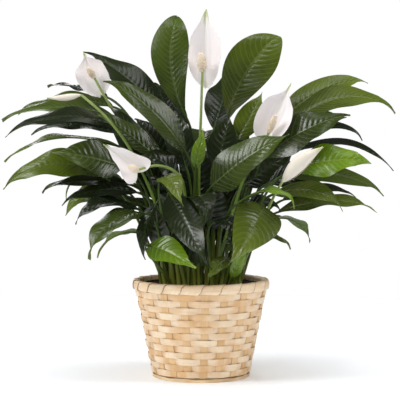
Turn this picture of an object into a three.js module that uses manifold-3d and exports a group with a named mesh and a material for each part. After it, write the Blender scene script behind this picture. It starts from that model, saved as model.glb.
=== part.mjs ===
// A potted peace lily in a woven basket. Millimetres, +Z up, the pot's axis on Z, standing on Z = 0,
// and the front of the plant towards -Y.
import * as THREE from "three";
import Module from "manifold-3d";

// ---------------------------------------------------------------- driving dimensions
const RIM_DIAMETER = 210; // over the basket's rim
const BASE_DIAMETER = 151; // over the basket's foot
const BASKET_HEIGHT = 148.5;
const RIM_HEIGHT = 14.7;
const FOOT_HEIGHT = 6.6;
const WEAVE_ROWS = 13;
const STAKES = 20; // upright canes the strips go in front of and behind
const GAP = 0.3; // clearance between pieces that touch
const SOIL_TOP = 139.5; // at the pot's wall
const SOIL_RISE = 3; // the soil is a little higher in the middle
const PLANTED = 12; // how deep a stem stands in the soil
const LEAF_THICKNESS = 1.4;
const STEM_RADIUS = 2.6; // of a leaf's stem where it leaves the soil

const vec = (x, y, z) => new THREE.Vector3(x, y, z);
const UP = vec(0, 0, 1);
const EAST = vec(1, 0, 0);
const NORTH = vec(0, 1, 0);

const wasm = await Module();
wasm.setup();

// ---------------------------------------------------------------- colours and nodes
const material = (color, roughness) => new THREE.MeshStandardMaterial({ color, roughness, metalness: 0 });
const PLASTIC = material("#1d1d1c", 0.5);
const SOIL = material("#3a2a20", 0.95);
const BAMBOO = material("#dfb67e", 0.6);
const BAMBOO_PALE = material("#e8c995", 0.55);
const BAMBOO_DARK = material("#b98a52", 0.65);
const LEAF = {
  dark: material("#1f3a1c", 0.35),
  green: material("#33591f", 0.35),
  olive: material("#6b7a45", 0.4),
  fresh: material("#86a22c", 0.4),
};
const STALK = material("#86a05a", 0.5);
const SPATHE = material("#f3f1ea", 0.5);
const BUD = material("#cfd59a", 0.5);
const CREAM = material("#ead3a0", 0.7);

const group = new THREE.Group();
function addNode(name, geometry, look) {
  const mesh = new THREE.Mesh(geometry, look);
  mesh.name = name;
  group.add(mesh);
}

// ---------------------------------------------------------------- shared solids
// A closed skin over a row of rings with equal point counts, with a fan over each end.
function loft(rings) {
  const count = rings[0].length;
  const corners = [];
  const face = (a, b, c) => corners.push(a, b, c);
  for (let i = 1; i < rings.length; i++) {
    for (let k = 0; k < count; k++) {
      const next = (k + 1) % count;
      face(rings[i - 1][k], rings[i][next], rings[i][k]);
      face(rings[i - 1][k], rings[i - 1][next], rings[i][next]);
    }
  }
  const last = rings[rings.length - 1];
  for (let k = 1; k < count - 1; k++) {
    face(rings[0][0], rings[0][k + 1], rings[0][k]);
    face(last[0], last[k], last[k + 1]);
  }
  return new THREE.BufferGeometry().setFromPoints(corners);
}

// A lathe about Z from a closed profile of [radius, height] pairs, listed anticlockwise.
function turned(profile, segments) {
  const points = profile.map(([r, z]) => new THREE.Vector2(r, z));
  points.push(points[0].clone());
  return new THREE.LatheGeometry(points, segments).rotateX(Math.PI / 2);
}

// Points of a cubic curve leaving `start` along `out` and arriving at `end` along `into`.
const bend = (start, out, into, end) => new THREE.CubicBezierCurve3(
  start, start.clone().add(out), end.clone().sub(into), end);

// The part of `side` square to `along`, as a unit vector.
const squareTo = (side, along) => side.clone().addScaledVector(along, -side.dot(along)).normalize();

// Six points round a stem at `centre`, lying in the plane of `side` and `normal`.
const HEXAGON = [150, 90, 30, -30, -90, -150].map((degrees) => THREE.MathUtils.degToRad(degrees));
const stemRing = (centre, side, normal, radius) => HEXAGON.map((angle) => centre.clone()
  .addScaledVector(side, radius * Math.cos(angle))
  .addScaledVector(normal, radius * Math.sin(angle)));

// The same six points, square to `along`.
function crossRing(centre, along, across, radius) {
  const side = squareTo(across, along);
  return stemRing(centre, side, new THREE.Vector3().crossVectors(side, along), radius);
}

// Six points round a blade: a shallow V whose edges stand `lift` above the midrib.
function bladeRing(centre, side, normal, half, lift, thickness) {
  const at = (across, above) => centre.clone()
    .addScaledVector(side, across * half)
    .addScaledVector(normal, Math.abs(across) * lift + above * thickness);
  return [at(-1, 0.5), at(0, 0.5), at(1, 0.5), at(1, -0.5), at(0, -0.5), at(-1, -0.5)];
}

// ---------------------------------------------------------------- basket
const slope = (RIM_DIAMETER - BASE_DIAMETER) / 2 / BASKET_HEIGHT;
const basketRadius = (z) => BASE_DIAMETER / 2 + slope * z;
const WALL_BOTTOM = FOOT_HEIGHT + GAP;
const WALL_TOP = BASKET_HEIGHT - RIM_HEIGHT - GAP;
const WALL_INSET = 2; // the strips' face behind the rim's and the foot's
const WALL_THICKNESS = 5;
const WEAVE_SWING = 1.1; // how far a strip swings out over a stake, and in behind the next one

// The wall: rows of strips, each crossing in front of every other stake, and in turn from row to row.
function basketWall() {
  const segments = 2 * STAKES;
  const ringAt = (z, swing, inset) => Array.from({ length: segments }, (_, k) => {
    const angle = (k / segments) * 2 * Math.PI;
    const radius = basketRadius(z) - inset + swing * Math.cos((angle * STAKES) / 2);
    return vec(radius * Math.cos(angle), radius * Math.sin(angle), z);
  });
  const pitch = (WALL_TOP - WALL_BOTTOM) / WEAVE_ROWS;
  const outside = [];
  for (let row = 0; row < WEAVE_ROWS; row++) {
    const swing = row % 2 ? WEAVE_SWING : -WEAVE_SWING;
    const low = WALL_BOTTOM + row * pitch;
    outside.push(ringAt(low + 0.12 * pitch, swing, WALL_INSET));
    outside.push(ringAt(low + 0.88 * pitch, swing, WALL_INSET));
  }
  const insideTop = ringAt(WALL_TOP - 1, 0, WALL_INSET + WALL_THICKNESS);
  const insideBottom = ringAt(WALL_BOTTOM + 1, 0, WALL_INSET + WALL_THICKNESS);
  const rings = [...outside, insideTop, insideBottom, outside[0]];
  const corners = [];
  for (let i = 1; i < rings.length; i++) {
    for (let k = 0; k < segments; k++) {
      const next = (k + 1) % segments;
      corners.push(rings[i - 1][k], rings[i][next], rings[i][k]);
      corners.push(rings[i - 1][k], rings[i - 1][next], rings[i][next]);
    }
  }
  return new THREE.BufferGeometry().setFromPoints(corners);
}
addNode("basket_wall", basketWall(), BAMBOO);

// The rim: a thick rounded band over the top of the wall.
const RIM_THICKNESS = 11;
const rimOuter = RIM_DIAMETER / 2;
const rimInner = rimOuter - RIM_THICKNESS;
const rimLow = BASKET_HEIGHT - RIM_HEIGHT;
const ROUNDING = 3.2;
addNode("basket_rim", turned([
  [rimInner, rimLow + ROUNDING],
  [rimInner + ROUNDING, rimLow],
  [rimOuter - ROUNDING, rimLow],
  [rimOuter, rimLow + ROUNDING],
  [rimOuter, BASKET_HEIGHT - ROUNDING],
  [rimOuter - ROUNDING, BASKET_HEIGHT],
  [rimInner + ROUNDING, BASKET_HEIGHT],
  [rimInner, BASKET_HEIGHT - ROUNDING],
], 48), BAMBOO_PALE);

// The foot: a low hoop the wall stands on.
const FOOT_THICKNESS = 7;
const footOuter = BASE_DIAMETER / 2;
addNode("basket_foot", turned([
  [footOuter - FOOT_THICKNESS, 0],
  [footOuter - 0.8, 0],
  [footOuter, 0.8],
  [footOuter, FOOT_HEIGHT],
  [footOuter - FOOT_THICKNESS, FOOT_HEIGHT],
], 48), BAMBOO_DARK);

// The floor: a flat disc inside the foot, whose underside is what the plant stands on.
const FLOOR_THICKNESS = 4;
const floorRadius = footOuter - FOOT_THICKNESS - GAP;
addNode("basket_floor", turned([
  [0, 0],
  [floorRadius, 0],
  [floorRadius, FLOOR_THICKNESS],
  [0, FLOOR_THICKNESS],
], 48), BAMBOO_DARK);

// ---------------------------------------------------------------- nursery pot
// A thin plastic pot inside the basket, standing on its floor and holding the soil.
const POT_WALL = 1.2;
const potLow = FLOOR_THICKNESS + GAP;
const potHigh = SOIL_TOP + 2.5;
const potFoot = 61;
const potMouth = rimInner - 2;
addNode("nursery_pot", turned([
  [0, potLow],
  [potFoot, potLow],
  [potMouth, potHigh],
  [potMouth - POT_WALL, potHigh],
  [potFoot - POT_WALL, potLow + POT_WALL],
  [0, potLow + POT_WALL],
], 48), PLASTIC);

// ---------------------------------------------------------------- leaves
// Each leaf: where its stem leaves the soil, then the midrib's start, middle and tip, the blade's
// width, the way its upper side looks, and its colour. A blunt blade is widest above its middle.
const LEAVES = [
  // upright leaves in the middle
  { name: "top_left", root: [-9, 13], base: [-24, 24, 400], mid: [-48, 38, 484], tip: [-36, 64, 562],
    width: 60, face: [0, -1, 0.3], look: "green", blunt: true },
  { name: "top_right", root: [11, 12], base: [42, 14, 398], mid: [68, 2, 464], tip: [120, 14, 528],
    width: 76, face: [-0.1, -1, 0.3], look: "olive", blunt: true },
  { name: "top_back_left", root: [-24, 30], base: [-66, 74, 412], mid: [-122, 96, 466], tip: [-190, 112, 510],
    width: 60, face: [0.1, -0.7, 0.7], look: "dark" },
  { name: "high_left", root: [-14, -16], base: [-22, -36, 342], mid: [-76, -68, 408], tip: [-140, -94, 451],
    width: 52, face: [0.2, -0.8, 0.6], look: "green" },
  { name: "spotted", root: [22, 20], base: [56, 44, 362], mid: [78, 52, 402], tip: [98, 66, 440],
    width: 40, face: [0, -1, 0.3], look: "olive" },
  // left side, from the top down
  { name: "left_a", root: [-38, 34], base: [-150, 88, 432], mid: [-205, 128, 452], tip: [-256, 170, 456],
    width: 42, face: [0, -0.2, 1], look: "dark" },
  { name: "left_b", root: [-40, 22], base: [-138, 46, 415], mid: [-218, 80, 428], tip: [-300, 106, 411],
    width: 52, face: [0, -0.5, 1], look: "green" },
  { name: "left_c", root: [-44, 10], base: [-136, 10, 400], mid: [-222, 12, 413], tip: [-308, 4, 398],
    width: 50, face: [0, -0.6, 1], look: "green" },
  { name: "left_d", root: [-42, -2], base: [-132, -24, 384], mid: [-212, -42, 396], tip: [-294, -58, 369],
    width: 48, face: [0, -0.6, 1], look: "dark" },
  { name: "left_e", root: [-46, -14], base: [-118, -34, 350], mid: [-208, -68, 365], tip: [-290, -96, 332],
    width: 50, face: [0, -0.1, 1], look: "olive" },
  { name: "left_f", root: [-28, -4], base: [-60, -14, 330], mid: [-110, -28, 372], tip: [-156, -38, 404],
    width: 44, face: [0.1, -0.7, 0.7], look: "green" },
  { name: "left_g", root: [-50, -28], base: [-116, -70, 322], mid: [-160, -94, 335], tip: [-214, -112, 345],
    width: 58, face: [0, -1, 0.5], look: "green" },
  { name: "left_h", root: [-56, -6], base: [-148, -20, 306], mid: [-222, -28, 326], tip: [-304, -22, 291],
    width: 54, face: [0, -0.8, 0.7], look: "olive" },
  { name: "left_i", root: [-58, 22], base: [-124, 52, 300], mid: [-176, 74, 284], tip: [-222, 88, 244],
    width: 48, face: [-0.1, -0.9, 0.8], look: "olive" },
  { name: "left_j", root: [-60, -20], base: [-92, -40, 256], mid: [-146, -62, 268], tip: [-190, -76, 240],
    width: 50, face: [0, -0.4, 1], look: "dark" },
  { name: "left_k", root: [-54, -38], base: [-84, -68, 252], mid: [-132, -108, 240], tip: [-164, -134, 190],
    width: 54, face: [-0.3, -0.5, 1], look: "green" },
  // towards the front
  { name: "front_low_left", root: [-44, -46], base: [-78, -92, 206], mid: [-46, -122, 198],
    tip: [-10, -146, 177], width: 46, face: [0, -0.9, 0.6], look: "fresh" },
  { name: "front_dark", root: [-33, -52], base: [-46, -66, 280], mid: [-22, -122, 240], tip: [10, -162, 180],
    width: 50, face: [-0.1, -0.8, 0.6], look: "dark" },
  { name: "front_curled", root: [-41, -36], base: [-58, -96, 304], mid: [-42, -142, 302],
    tip: [-28, -172, 266], width: 34, face: [-0.3, -0.3, 1], look: "olive" },
  { name: "front_right", root: [8, -36], base: [14, -80, 290], mid: [62, -114, 332], tip: [126, -132, 368],
    width: 68, face: [-0.2, -0.9, 0.6], look: "green" },
  { name: "front_fresh", root: [22, -52], base: [50, -104, 266], mid: [98, -134, 288], tip: [136, -156, 268],
    width: 28, face: [0, -0.3, 1], look: "fresh" },
  { name: "front_round", root: [42, -42], base: [92, -82, 264], mid: [76, -128, 236], tip: [40, -156, 182],
    width: 70, face: [0.3, -0.8, 0.6], look: "olive" },
  // right side, from the top down
  { name: "right_a", root: [38, 30], base: [128, 50, 398], mid: [198, 66, 444], tip: [270, 82, 460],
    width: 54, face: [0, -0.8, 0.8], look: "olive" },
  { name: "right_b", root: [42, 12], base: [136, 6, 388], mid: [222, 6, 428], tip: [302, 0, 408],
    width: 60, face: [0, -0.8, 1], look: "olive" },
  { name: "right_c", root: [30, -18], base: [92, -50, 336], mid: [154, -74, 376], tip: [218, -88, 400],
    width: 64, face: [0.1, -0.8, 0.7], look: "green" },
  { name: "right_d", root: [50, 24], base: [136, 62, 340], mid: [226, 78, 358], tip: [312, 78, 319],
    width: 46, face: [0, -0.3, 1], look: "dark" },
  { name: "right_e", root: [46, -30], base: [138, -74, 318], mid: [194, -92, 331], tip: [248, -104, 329],
    width: 56, face: [0, -1, 0.7], look: "fresh" },
  { name: "right_f", root: [52, -12], base: [130, -28, 308], mid: [208, -38, 308], tip: [278, -38, 281],
    width: 52, face: [0, -0.7, 1], look: "green" },
  { name: "right_g", root: [58, -26], base: [108, -54, 280], mid: [162, -90, 286], tip: [208, -116, 262],
    width: 46, face: [0, -0.8, 1], look: "olive" },
  { name: "right_h", root: [60, 8], base: [118, 16, 250], mid: [202, 26, 268], tip: [276, 22, 254],
    width: 46, face: [0, -0.5, 1], look: "olive" },
  // towards the back
  { name: "back_a", root: [30, 44], base: [68, 98, 330], mid: [108, 166, 346], tip: [138, 236, 302],
    width: 58, face: [0, 0, 1], look: "green" },
  { name: "back_b", root: [2, 40], base: [4, 98, 352], mid: [8, 176, 380], tip: [14, 252, 346],
    width: 60, face: [0, 0, 1], look: "green" },
  { name: "back_c", root: [-28, 46], base: [-62, 96, 334], mid: [-100, 160, 350], tip: [-130, 230, 306],
    width: 58, face: [0, 0, 1], look: "dark" },
  { name: "back_d", root: [20, 58], base: [34, 82, 236], mid: [60, 146, 252], tip: [82, 208, 214],
    width: 50, face: [0, 0, 1], look: "olive" },
  { name: "back_e", root: [-18, 58], base: [-34, 82, 240], mid: [-62, 148, 256], tip: [-80, 214, 220],
    width: 50, face: [0, 0, 1], look: "green" },
  { name: "back_f", root: [48, 40], base: [88, 78, 226], mid: [142, 126, 236], tip: [186, 166, 200],
    width: 46, face: [0, 0, 1], look: "green" },
  { name: "back_g", root: [8, 28], base: [20, 58, 380], mid: [38, 104, 438], tip: [48, 150, 478],
    width: 56, face: [0, -0.8, 0.8], look: "dark" },
  { name: "back_h", root: [-6, 30], base: [-28, 74, 368], mid: [-58, 118, 424], tip: [-78, 166, 462],
    width: 52, face: [0, -0.8, 0.8], look: "dark" },
];
const PETIOLE_STEPS = [0.22, 0.45, 0.68, 0.88];
const LEAN = 0.75; // how far a stem leans out at the soil, over the straight line to its blade
const BLADE_STEPS = [0, 0.06, 0.15, 0.27, 0.41, 0.56, 0.71, 0.85, 0.95, 1];
const FOLD = 0.22; // rise of the blade's edges over its half width

// Half the blade's width as a share of its widest, from its base (0) to its drawn-out tip (1).
const leafOutline = (u, blunt) => (blunt
  ? Math.sin(Math.PI * u ** 1.4) ** 0.65
  : Math.sin(Math.PI * u ** 0.72) ** 1.1);

// A leaf: a stem standing in the soil and the blade it carries, as one body.
function leaf({ root, base, mid, tip, width, face, blunt = false }) {
  const [start, middle, end] = [base, mid, tip].map((p) => vec(...p));
  const control = middle.clone().multiplyScalar(2).addScaledVector(start, -0.5).addScaledVector(end, -0.5);
  const midrib = new THREE.QuadraticBezierCurve3(start, control, end);
  const ground = vec(root[0], root[1], soilHeight(root) + GAP);
  const foot = ground.clone().setZ(soilHeight(root) - PLANTED);
  const reach = start.distanceTo(ground);
  const away = midrib.getTangent(0);
  const rise = vec(LEAN * (base[0] - root[0]), LEAN * (base[1] - root[1]), start.z - ground.z);
  const petiole = bend(ground, rise.setLength(0.4 * reach), away.clone().multiplyScalar(0.3 * reach), start);
  const across = new THREE.Vector3().crossVectors(end.clone().sub(start), vec(...face)).normalize();
  const rings = [crossRing(foot, UP, across, STEM_RADIUS), crossRing(ground, UP, across, STEM_RADIUS)];
  for (const t of PETIOLE_STEPS) {
    rings.push(crossRing(petiole.getPoint(t), petiole.getTangent(t), across, STEM_RADIUS * (1 - 0.3 * t)));
  }
  for (const u of BLADE_STEPS) {
    const along = midrib.getTangent(u);
    const side = squareTo(across, along);
    const normal = new THREE.Vector3().crossVectors(side, along);
    const centre = midrib.getPoint(u);
    const half = Math.max(0.6, (width / 2) * leafOutline(u, blunt));
    if (half < STEM_RADIUS && u < 0.5) rings.push(stemRing(centre, side, normal, 0.7 * STEM_RADIUS));
    else rings.push(bladeRing(centre, side, normal, half, FOLD * half, LEAF_THICKNESS));
  }
  return loft(rings);
}

// ---------------------------------------------------------------- flowers
// Each flower: a stalk through `stalk` points from the soil, the white spathe from its low end over
// its middle to its tip, and the spadix from the stalk's end. A bud has its spathe still rolled.
const FLOWERS = [
  { name: "top", root: [0, -6], stalk: [[-3, -22, 300], [0, -23, 400], [2, -26, 466]],
    spathe: [[9, -16, 442], [5, -14, 500], [8, -6, 562]], width: 50, face: [0, -1, 0.1],
    spadix: [0, -37, 492], thick: 7 },
  { name: "upper_left", root: [-26, 14], stalk: [[-88, 20, 330], [-141, 16, 416], [-165, 14, 459]],
    spathe: [[-155, 20, 433], [-170, 22, 468], [-183, 26, 500]], width: 46, face: [-0.1, -1, 0.2],
    spadix: [-174, 3, 473], thick: 4.8 },
  { name: "lower_left", root: [-20, -46],
    stalk: [[-24, -58, 280], [-36, -78, 312], [-64, -98, 326], [-92, -116, 317]],
    spathe: [[-92, -108, 313], [-116, -112, 335], [-141, -119, 354]], width: 46, face: [0, -1, 0.3],
    spadix: [-103, -134, 322], thick: 4.8 },
  { name: "right", root: [24, -34], stalk: [[62, -64, 300], [90, -68, 350], [100, -70, 372]],
    spathe: [[92, -62, 362], [114, -60, 404], [134, -58, 446]], width: 52, face: [-0.1, -1, 0.2],
    spadix: [110, -78, 397], thick: 4.8 },
];
const BUDS = [
  { name: "right_bud", root: [60, -34], stalk: [[90, -58, 236], [106, -76, 274], [117, -120, 300]],
    tip: [174, -138, 350], radius: 11, look: BUD },
  { name: "left_bud", root: [-38, -22],
    stalk: [[-70, -46, 270], [-104, -62, 345], [-140, -64, 394], [-178, -60, 428]],
    tip: [-230, -54, 424], radius: 5, look: BUD },
];
const STALK_RADIUS = 2.2;
const STALK_STEPS = 9;
const SEAT = 1.8; // from a stalk's end to the body it carries

const SIDEWAYS = vec(0.3, 1, 0).normalize();

// A stalk: a round stem through its points, its foot upright in the soil.
function stalk({ root, stalk: through }) {
  const ground = vec(root[0], root[1], soilHeight(root) + GAP);
  const foot = ground.clone().setZ(soilHeight(root) - PLANTED);
  const points = [ground, ground.clone().setZ(ground.z + 24), ...through.map((p) => vec(...p))];
  const path = new THREE.CatmullRomCurve3(points, false, "centripetal");
  const rings = [crossRing(foot, UP, SIDEWAYS, STALK_RADIUS), crossRing(ground, UP, SIDEWAYS, STALK_RADIUS)];
  for (let i = 1; i <= STALK_STEPS; i++) {
    const t = i / STALK_STEPS;
    rings.push(crossRing(path.getPointAt(t), path.getTangentAt(t), SIDEWAYS, STALK_RADIUS * (1 - 0.25 * t)));
  }
  return { geometry: loft(rings), end: path.getPointAt(1), along: path.getTangentAt(1) };
}

// A spathe: a cupped white bract, rounded below and pointed above.
const SPATHE_STEPS = [0, 0.06, 0.18, 0.34, 0.52, 0.7, 0.86, 0.96, 1];
const SPATHE_CUP = 0.3;
const spatheOutline = (u) => Math.sin(Math.PI * u ** 0.8) ** 0.8;
function spathe({ spathe: [low, mid, tip], width, face }) {
  const [start, middle, end] = [low, mid, tip].map((p) => vec(...p));
  const control = middle.clone().multiplyScalar(2).addScaledVector(start, -0.5).addScaledVector(end, -0.5);
  const rib = new THREE.QuadraticBezierCurve3(start, control, end);
  const across = new THREE.Vector3().crossVectors(end.clone().sub(start), vec(...face)).normalize();
  return loft(SPATHE_STEPS.map((u) => {
    const along = rib.getTangent(u);
    const side = squareTo(across, along);
    const normal = new THREE.Vector3().crossVectors(side, along);
    const half = Math.max(0.8, (width / 2) * spatheOutline(u));
    return bladeRing(rib.getPoint(u), side, normal, half, SPATHE_CUP * half, LEAF_THICKNESS);
  }));
}

// A round body from `start` to `end` whose radius follows `shape`: a spadix or a rolled bud.
const BODY_STEPS = [0, 0.08, 0.25, 0.45, 0.65, 0.85, 1];
function roundBody(start, end, radius, shape) {
  const along = end.clone().sub(start).normalize();
  const ringAt = (t) => crossRing(start.clone().lerp(end, t), along, SIDEWAYS, radius * shape(t));
  return loft(BODY_STEPS.map(ringAt));
}
const spadixShape = (t) => 0.45 + 0.55 * Math.sin(Math.PI * (0.15 + 0.75 * t));
const budShape = (t) => 0.15 + 0.85 * Math.sin(Math.PI * Math.min(1, t) ** 0.8);

// ---------------------------------------------------------------- soil
// Soil filling the pot, a little higher in the middle, with a hole for each planted stem.
const soilEdge = potMouth - POT_WALL - GAP - 0.5;
const soilLow = potLow + POT_WALL + GAP;
const soilFoot = potFoot - POT_WALL - GAP - 0.5;
function soilHeight([x, y]) {
  return SOIL_TOP + SOIL_RISE * (1 - Math.hypot(x, y) / soilEdge);
}
const HOLE_RADIUS = 3.6;
const HOLE_DEPTH = PLANTED + 0.5;
function asManifold(geometry) {
  const spots = new Map();
  const vertices = [];
  const triangles = [];
  const position = geometry.getAttribute("position");
  const cornerOf = geometry.index ? (i) => geometry.index.getX(i) : (i) => i;
  const corners = geometry.index ? geometry.index.count : position.count;
  for (let i = 0; i < corners; i++) {
    const point = new THREE.Vector3().fromBufferAttribute(position, cornerOf(i));
    const key = point.toArray().map((v) => Math.round(v * 1000)).join();
    if (!spots.has(key)) {
      spots.set(key, spots.size);
      vertices.push(...point.toArray());
    }
    triangles.push(spots.get(key));
  }
  const kept = [];
  for (let i = 0; i < triangles.length; i += 3) {
    const [a, b, c] = triangles.slice(i, i + 3);
    if (a !== b && b !== c && a !== c) kept.push(a, b, c);
  }
  return new wasm.Manifold(new wasm.Mesh({
    numProp: 3,
    vertProperties: new Float32Array(vertices),
    triVerts: new Uint32Array(kept),
  }));
}
function soil() {
  let body = asManifold(turned([
    [0, soilLow],
    [soilFoot, soilLow],
    [soilEdge, SOIL_TOP],
    [0, SOIL_TOP + SOIL_RISE],
  ], 48));
  for (const { root } of [...LEAVES, ...FLOWERS, ...BUDS]) {
    const bottom = soilHeight(root) - HOLE_DEPTH;
    const ringAt = (z) => stemRing(vec(root[0], root[1], z), EAST, NORTH, HOLE_RADIUS).reverse();
    body = body.subtract(asManifold(loft([ringAt(bottom), ringAt(bottom + 2 * HOLE_DEPTH)])));
  }
  const mesh = body.getMesh();
  const geometry = new THREE.BufferGeometry();
  geometry.setAttribute("position", new THREE.BufferAttribute(new Float32Array(mesh.vertProperties), 3));
  geometry.setIndex(new THREE.BufferAttribute(new Uint32Array(mesh.triVerts), 1));
  return geometry;
}
addNode("soil", soil(), SOIL);

// ---------------------------------------------------------------- the plant's nodes
for (const each of LEAVES) addNode("leaf_" + each.name, leaf(each), LEAF[each.look]);
for (const each of FLOWERS) {
  const stem = stalk(each);
  addNode("stalk_" + each.name, stem.geometry, STALK);
  addNode("spathe_" + each.name, spathe(each), SPATHE);
  const start = stem.end.clone().addScaledVector(stem.along, SEAT);
  addNode("spadix_" + each.name, roundBody(start, vec(...each.spadix), each.thick, spadixShape), CREAM);
}
for (const each of BUDS) {
  const stem = stalk(each);
  addNode("stalk_" + each.name, stem.geometry, STALK);
  const start = stem.end.clone().addScaledVector(stem.along, SEAT);
  addNode("bud_" + each.name, roundBody(start, vec(...each.tip), each.radius, budShape), each.look);
}

export default group;
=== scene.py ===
"""A potted peace lily in a woven basket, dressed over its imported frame.

Metres, Z up, the pot's axis on Z, standing on Z = 0, the front of the plant towards -Y.
"""
import math
import random

import bpy
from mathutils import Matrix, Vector, noise


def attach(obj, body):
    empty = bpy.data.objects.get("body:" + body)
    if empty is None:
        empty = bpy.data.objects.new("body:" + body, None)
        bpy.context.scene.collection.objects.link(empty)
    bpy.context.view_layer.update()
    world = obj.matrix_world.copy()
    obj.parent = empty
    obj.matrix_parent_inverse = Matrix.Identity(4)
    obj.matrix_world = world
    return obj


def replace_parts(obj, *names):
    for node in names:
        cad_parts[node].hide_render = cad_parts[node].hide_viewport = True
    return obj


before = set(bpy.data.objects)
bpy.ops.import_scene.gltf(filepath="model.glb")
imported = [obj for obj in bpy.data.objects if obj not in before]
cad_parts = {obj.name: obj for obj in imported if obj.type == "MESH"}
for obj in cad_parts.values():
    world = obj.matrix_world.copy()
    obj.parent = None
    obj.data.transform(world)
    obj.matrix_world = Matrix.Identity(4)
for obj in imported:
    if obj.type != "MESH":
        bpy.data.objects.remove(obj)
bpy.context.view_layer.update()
MM = 0.001


# ---------------------------------------------------------------- studio
# A pale floor that fades into a white room. Four soft boxes stand at the upper left, the right,
# overhead and behind, two more only lift the shade, and a long lens is level with the leaves,
# tipped slightly down.
scene = bpy.context.scene
scene.view_settings.view_transform = "Standard"
TURN = 2 * math.pi


def add_node(tree, kind, inputs=(), **settings):
    """Add a node, set its properties, then fill or link its inputs by name or number."""
    node = tree.nodes.new(kind)
    for key, value in settings.items():
        setattr(node, key, value)
    for key, value in dict(inputs).items():
        if isinstance(value, Number):
            value = value.socket
        if isinstance(value, bpy.types.NodeSocket):
            tree.links.new(value, node.inputs[key])
        else:
            node.inputs[key].default_value = value
    return node


class Number:
    """A node's output that adds, multiplies and so on by making Math nodes."""

    def __init__(self, tree, socket):
        self.tree = tree
        self.socket = socket

    def maths(self, operation, *others):
        operands = dict(enumerate((self, *others)))
        node = add_node(self.tree, "ShaderNodeMath", operands, operation=operation)
        return Number(self.tree, node.outputs[0])

    def __add__(self, other):
        return self.maths("ADD", other)

    def __sub__(self, other):
        return self.maths("SUBTRACT", other)

    def __mul__(self, other):
        return self.maths("MULTIPLY", other)

    def __truediv__(self, other):
        return self.maths("DIVIDE", other)

    def __pow__(self, other):
        return self.maths("POWER", other)

    def __rsub__(self, other):
        return self * -1 + other

    __radd__ = __add__
    __rmul__ = __mul__

    def sin(self):
        return self.maths("SINE")

    def cos(self):
        return self.maths("COSINE")

    def size(self):
        return self.maths("ABSOLUTE")

    def within(self):
        """Held between 0 and 1."""
        return self.maths("MAXIMUM", 0.0).maths("MINIMUM", 1.0)


def new_material(name, **constants):
    """A material with its Principled shader; constants are set on the shader's own sockets."""
    material = bpy.data.materials.new(name)
    material.use_nodes = True
    tree = material.node_tree
    shader = tree.nodes["Principled BSDF"]
    for key, value in constants.items():
        shader.inputs[key.replace("_", " ")].default_value = value
    return material, tree, shader


def noise_in(tree, place, scale, detail=3.0, roughness=0.55):
    """Noise from 0 to 1 over a place."""
    inputs = {"Vector": place, "Scale": scale, "Detail": detail, "Roughness": roughness}
    return Number(tree, add_node(tree, "ShaderNodeTexNoise", inputs).outputs["Fac"])


def mix(tree, share, first, second):
    """A colour between two colours."""
    node = add_node(tree, "ShaderNodeMix", data_type="RGBA")
    for key, value in ((0, share), (6, first), (7, second)):
        if isinstance(value, Number):
            value = value.socket
        if isinstance(value, bpy.types.NodeSocket):
            tree.links.new(value, node.inputs[key])
        else:
            node.inputs[key].default_value = value if key == 0 else (*value, 1.0)
    return node.outputs[2]


def object_place(tree):
    return add_node(tree, "ShaderNodeTexCoord").outputs["Object"]


def mesh_object(name, mesh):
    """An object in the scene for a finished mesh."""
    item = bpy.data.objects.new(name, mesh)
    scene.collection.objects.link(item)
    return item


FLOOR_RADIUS = 1.1
FLOOR_SIDES = 96
FLOOR_GLOW = 0.16
paper, tree, shader = new_material("floor paper", Roughness=0.9, Specular_IOR_Level=0.1,
                                   Emission_Color=(1, 1, 1, 1), Emission_Strength=FLOOR_GLOW)
shade = noise_in(tree, object_place(tree), 3.0)
tone = mix(tree, shade, (0.88, 0.90, 0.93), (0.90, 0.92, 0.95))
tree.links.new(tone, shader.inputs["Base Color"])
mesh = bpy.data.meshes.new("floor")
turns = [TURN * k / FLOOR_SIDES for k in range(FLOOR_SIDES)]
corners = [(FLOOR_RADIUS * math.cos(turn), FLOOR_RADIUS * math.sin(turn), 0) for turn in turns]
mesh.from_pydata(corners, [], [range(FLOOR_SIDES)])
mesh.materials.append(paper)
floor = mesh_object("floor", mesh)

ROOM_GLOW = 0.09  # what the white room sends back on the plant, beside its full white as a backdrop
world = bpy.data.worlds.new("white room")
world.use_nodes = True
room = world.node_tree
seen = Number(room, add_node(room, "ShaderNodeLightPath").outputs["Is Camera Ray"])
room.nodes["Background"].inputs["Color"].default_value = (1, 1, 1, 1)
room.links.new((seen * (1 - ROOM_GLOW) + ROOM_GLOW).socket, room.nodes["Background"].inputs["Strength"])
scene.world = world

PLANT_MIDDLE = Vector((0, 0, 0.3))


def soft_box(name, place, size, power, in_gloss=True):
    """A rectangular lamp aimed at the plant; one kept out of the gloss only lifts the shade."""
    light = bpy.data.lights.new(name, "AREA")
    light.shape = "RECTANGLE"
    light.size, light.size_y = size
    light.energy = power
    lamp = bpy.data.objects.new(name, light)
    lamp.location = place
    lamp.visible_glossy = in_gloss
    lamp.rotation_euler = (PLANT_MIDDLE - Vector(place)).to_track_quat("-Z", "Y").to_euler()
    scene.collection.objects.link(lamp)


soft_box("key", (-1.75, -0.8, 1.7), (0.8, 1.2), 34)
soft_box("fill", (1.85, -0.45, 1.3), (0.6, 1.2), 16)
soft_box("overhead", (0.0, -0.65, 2.2), (1.5, 0.3), 7)
soft_box("front", (-0.4, -2.6, 0.7), (1.4, 0.8), 19, in_gloss=False)
soft_box("top", (0.2, 0.3, 2.4), (1.8, 1.8), 36, in_gloss=False)
soft_box("back", (-0.9, 2.1, 1.2), (1.2, 1.2), 16)

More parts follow.
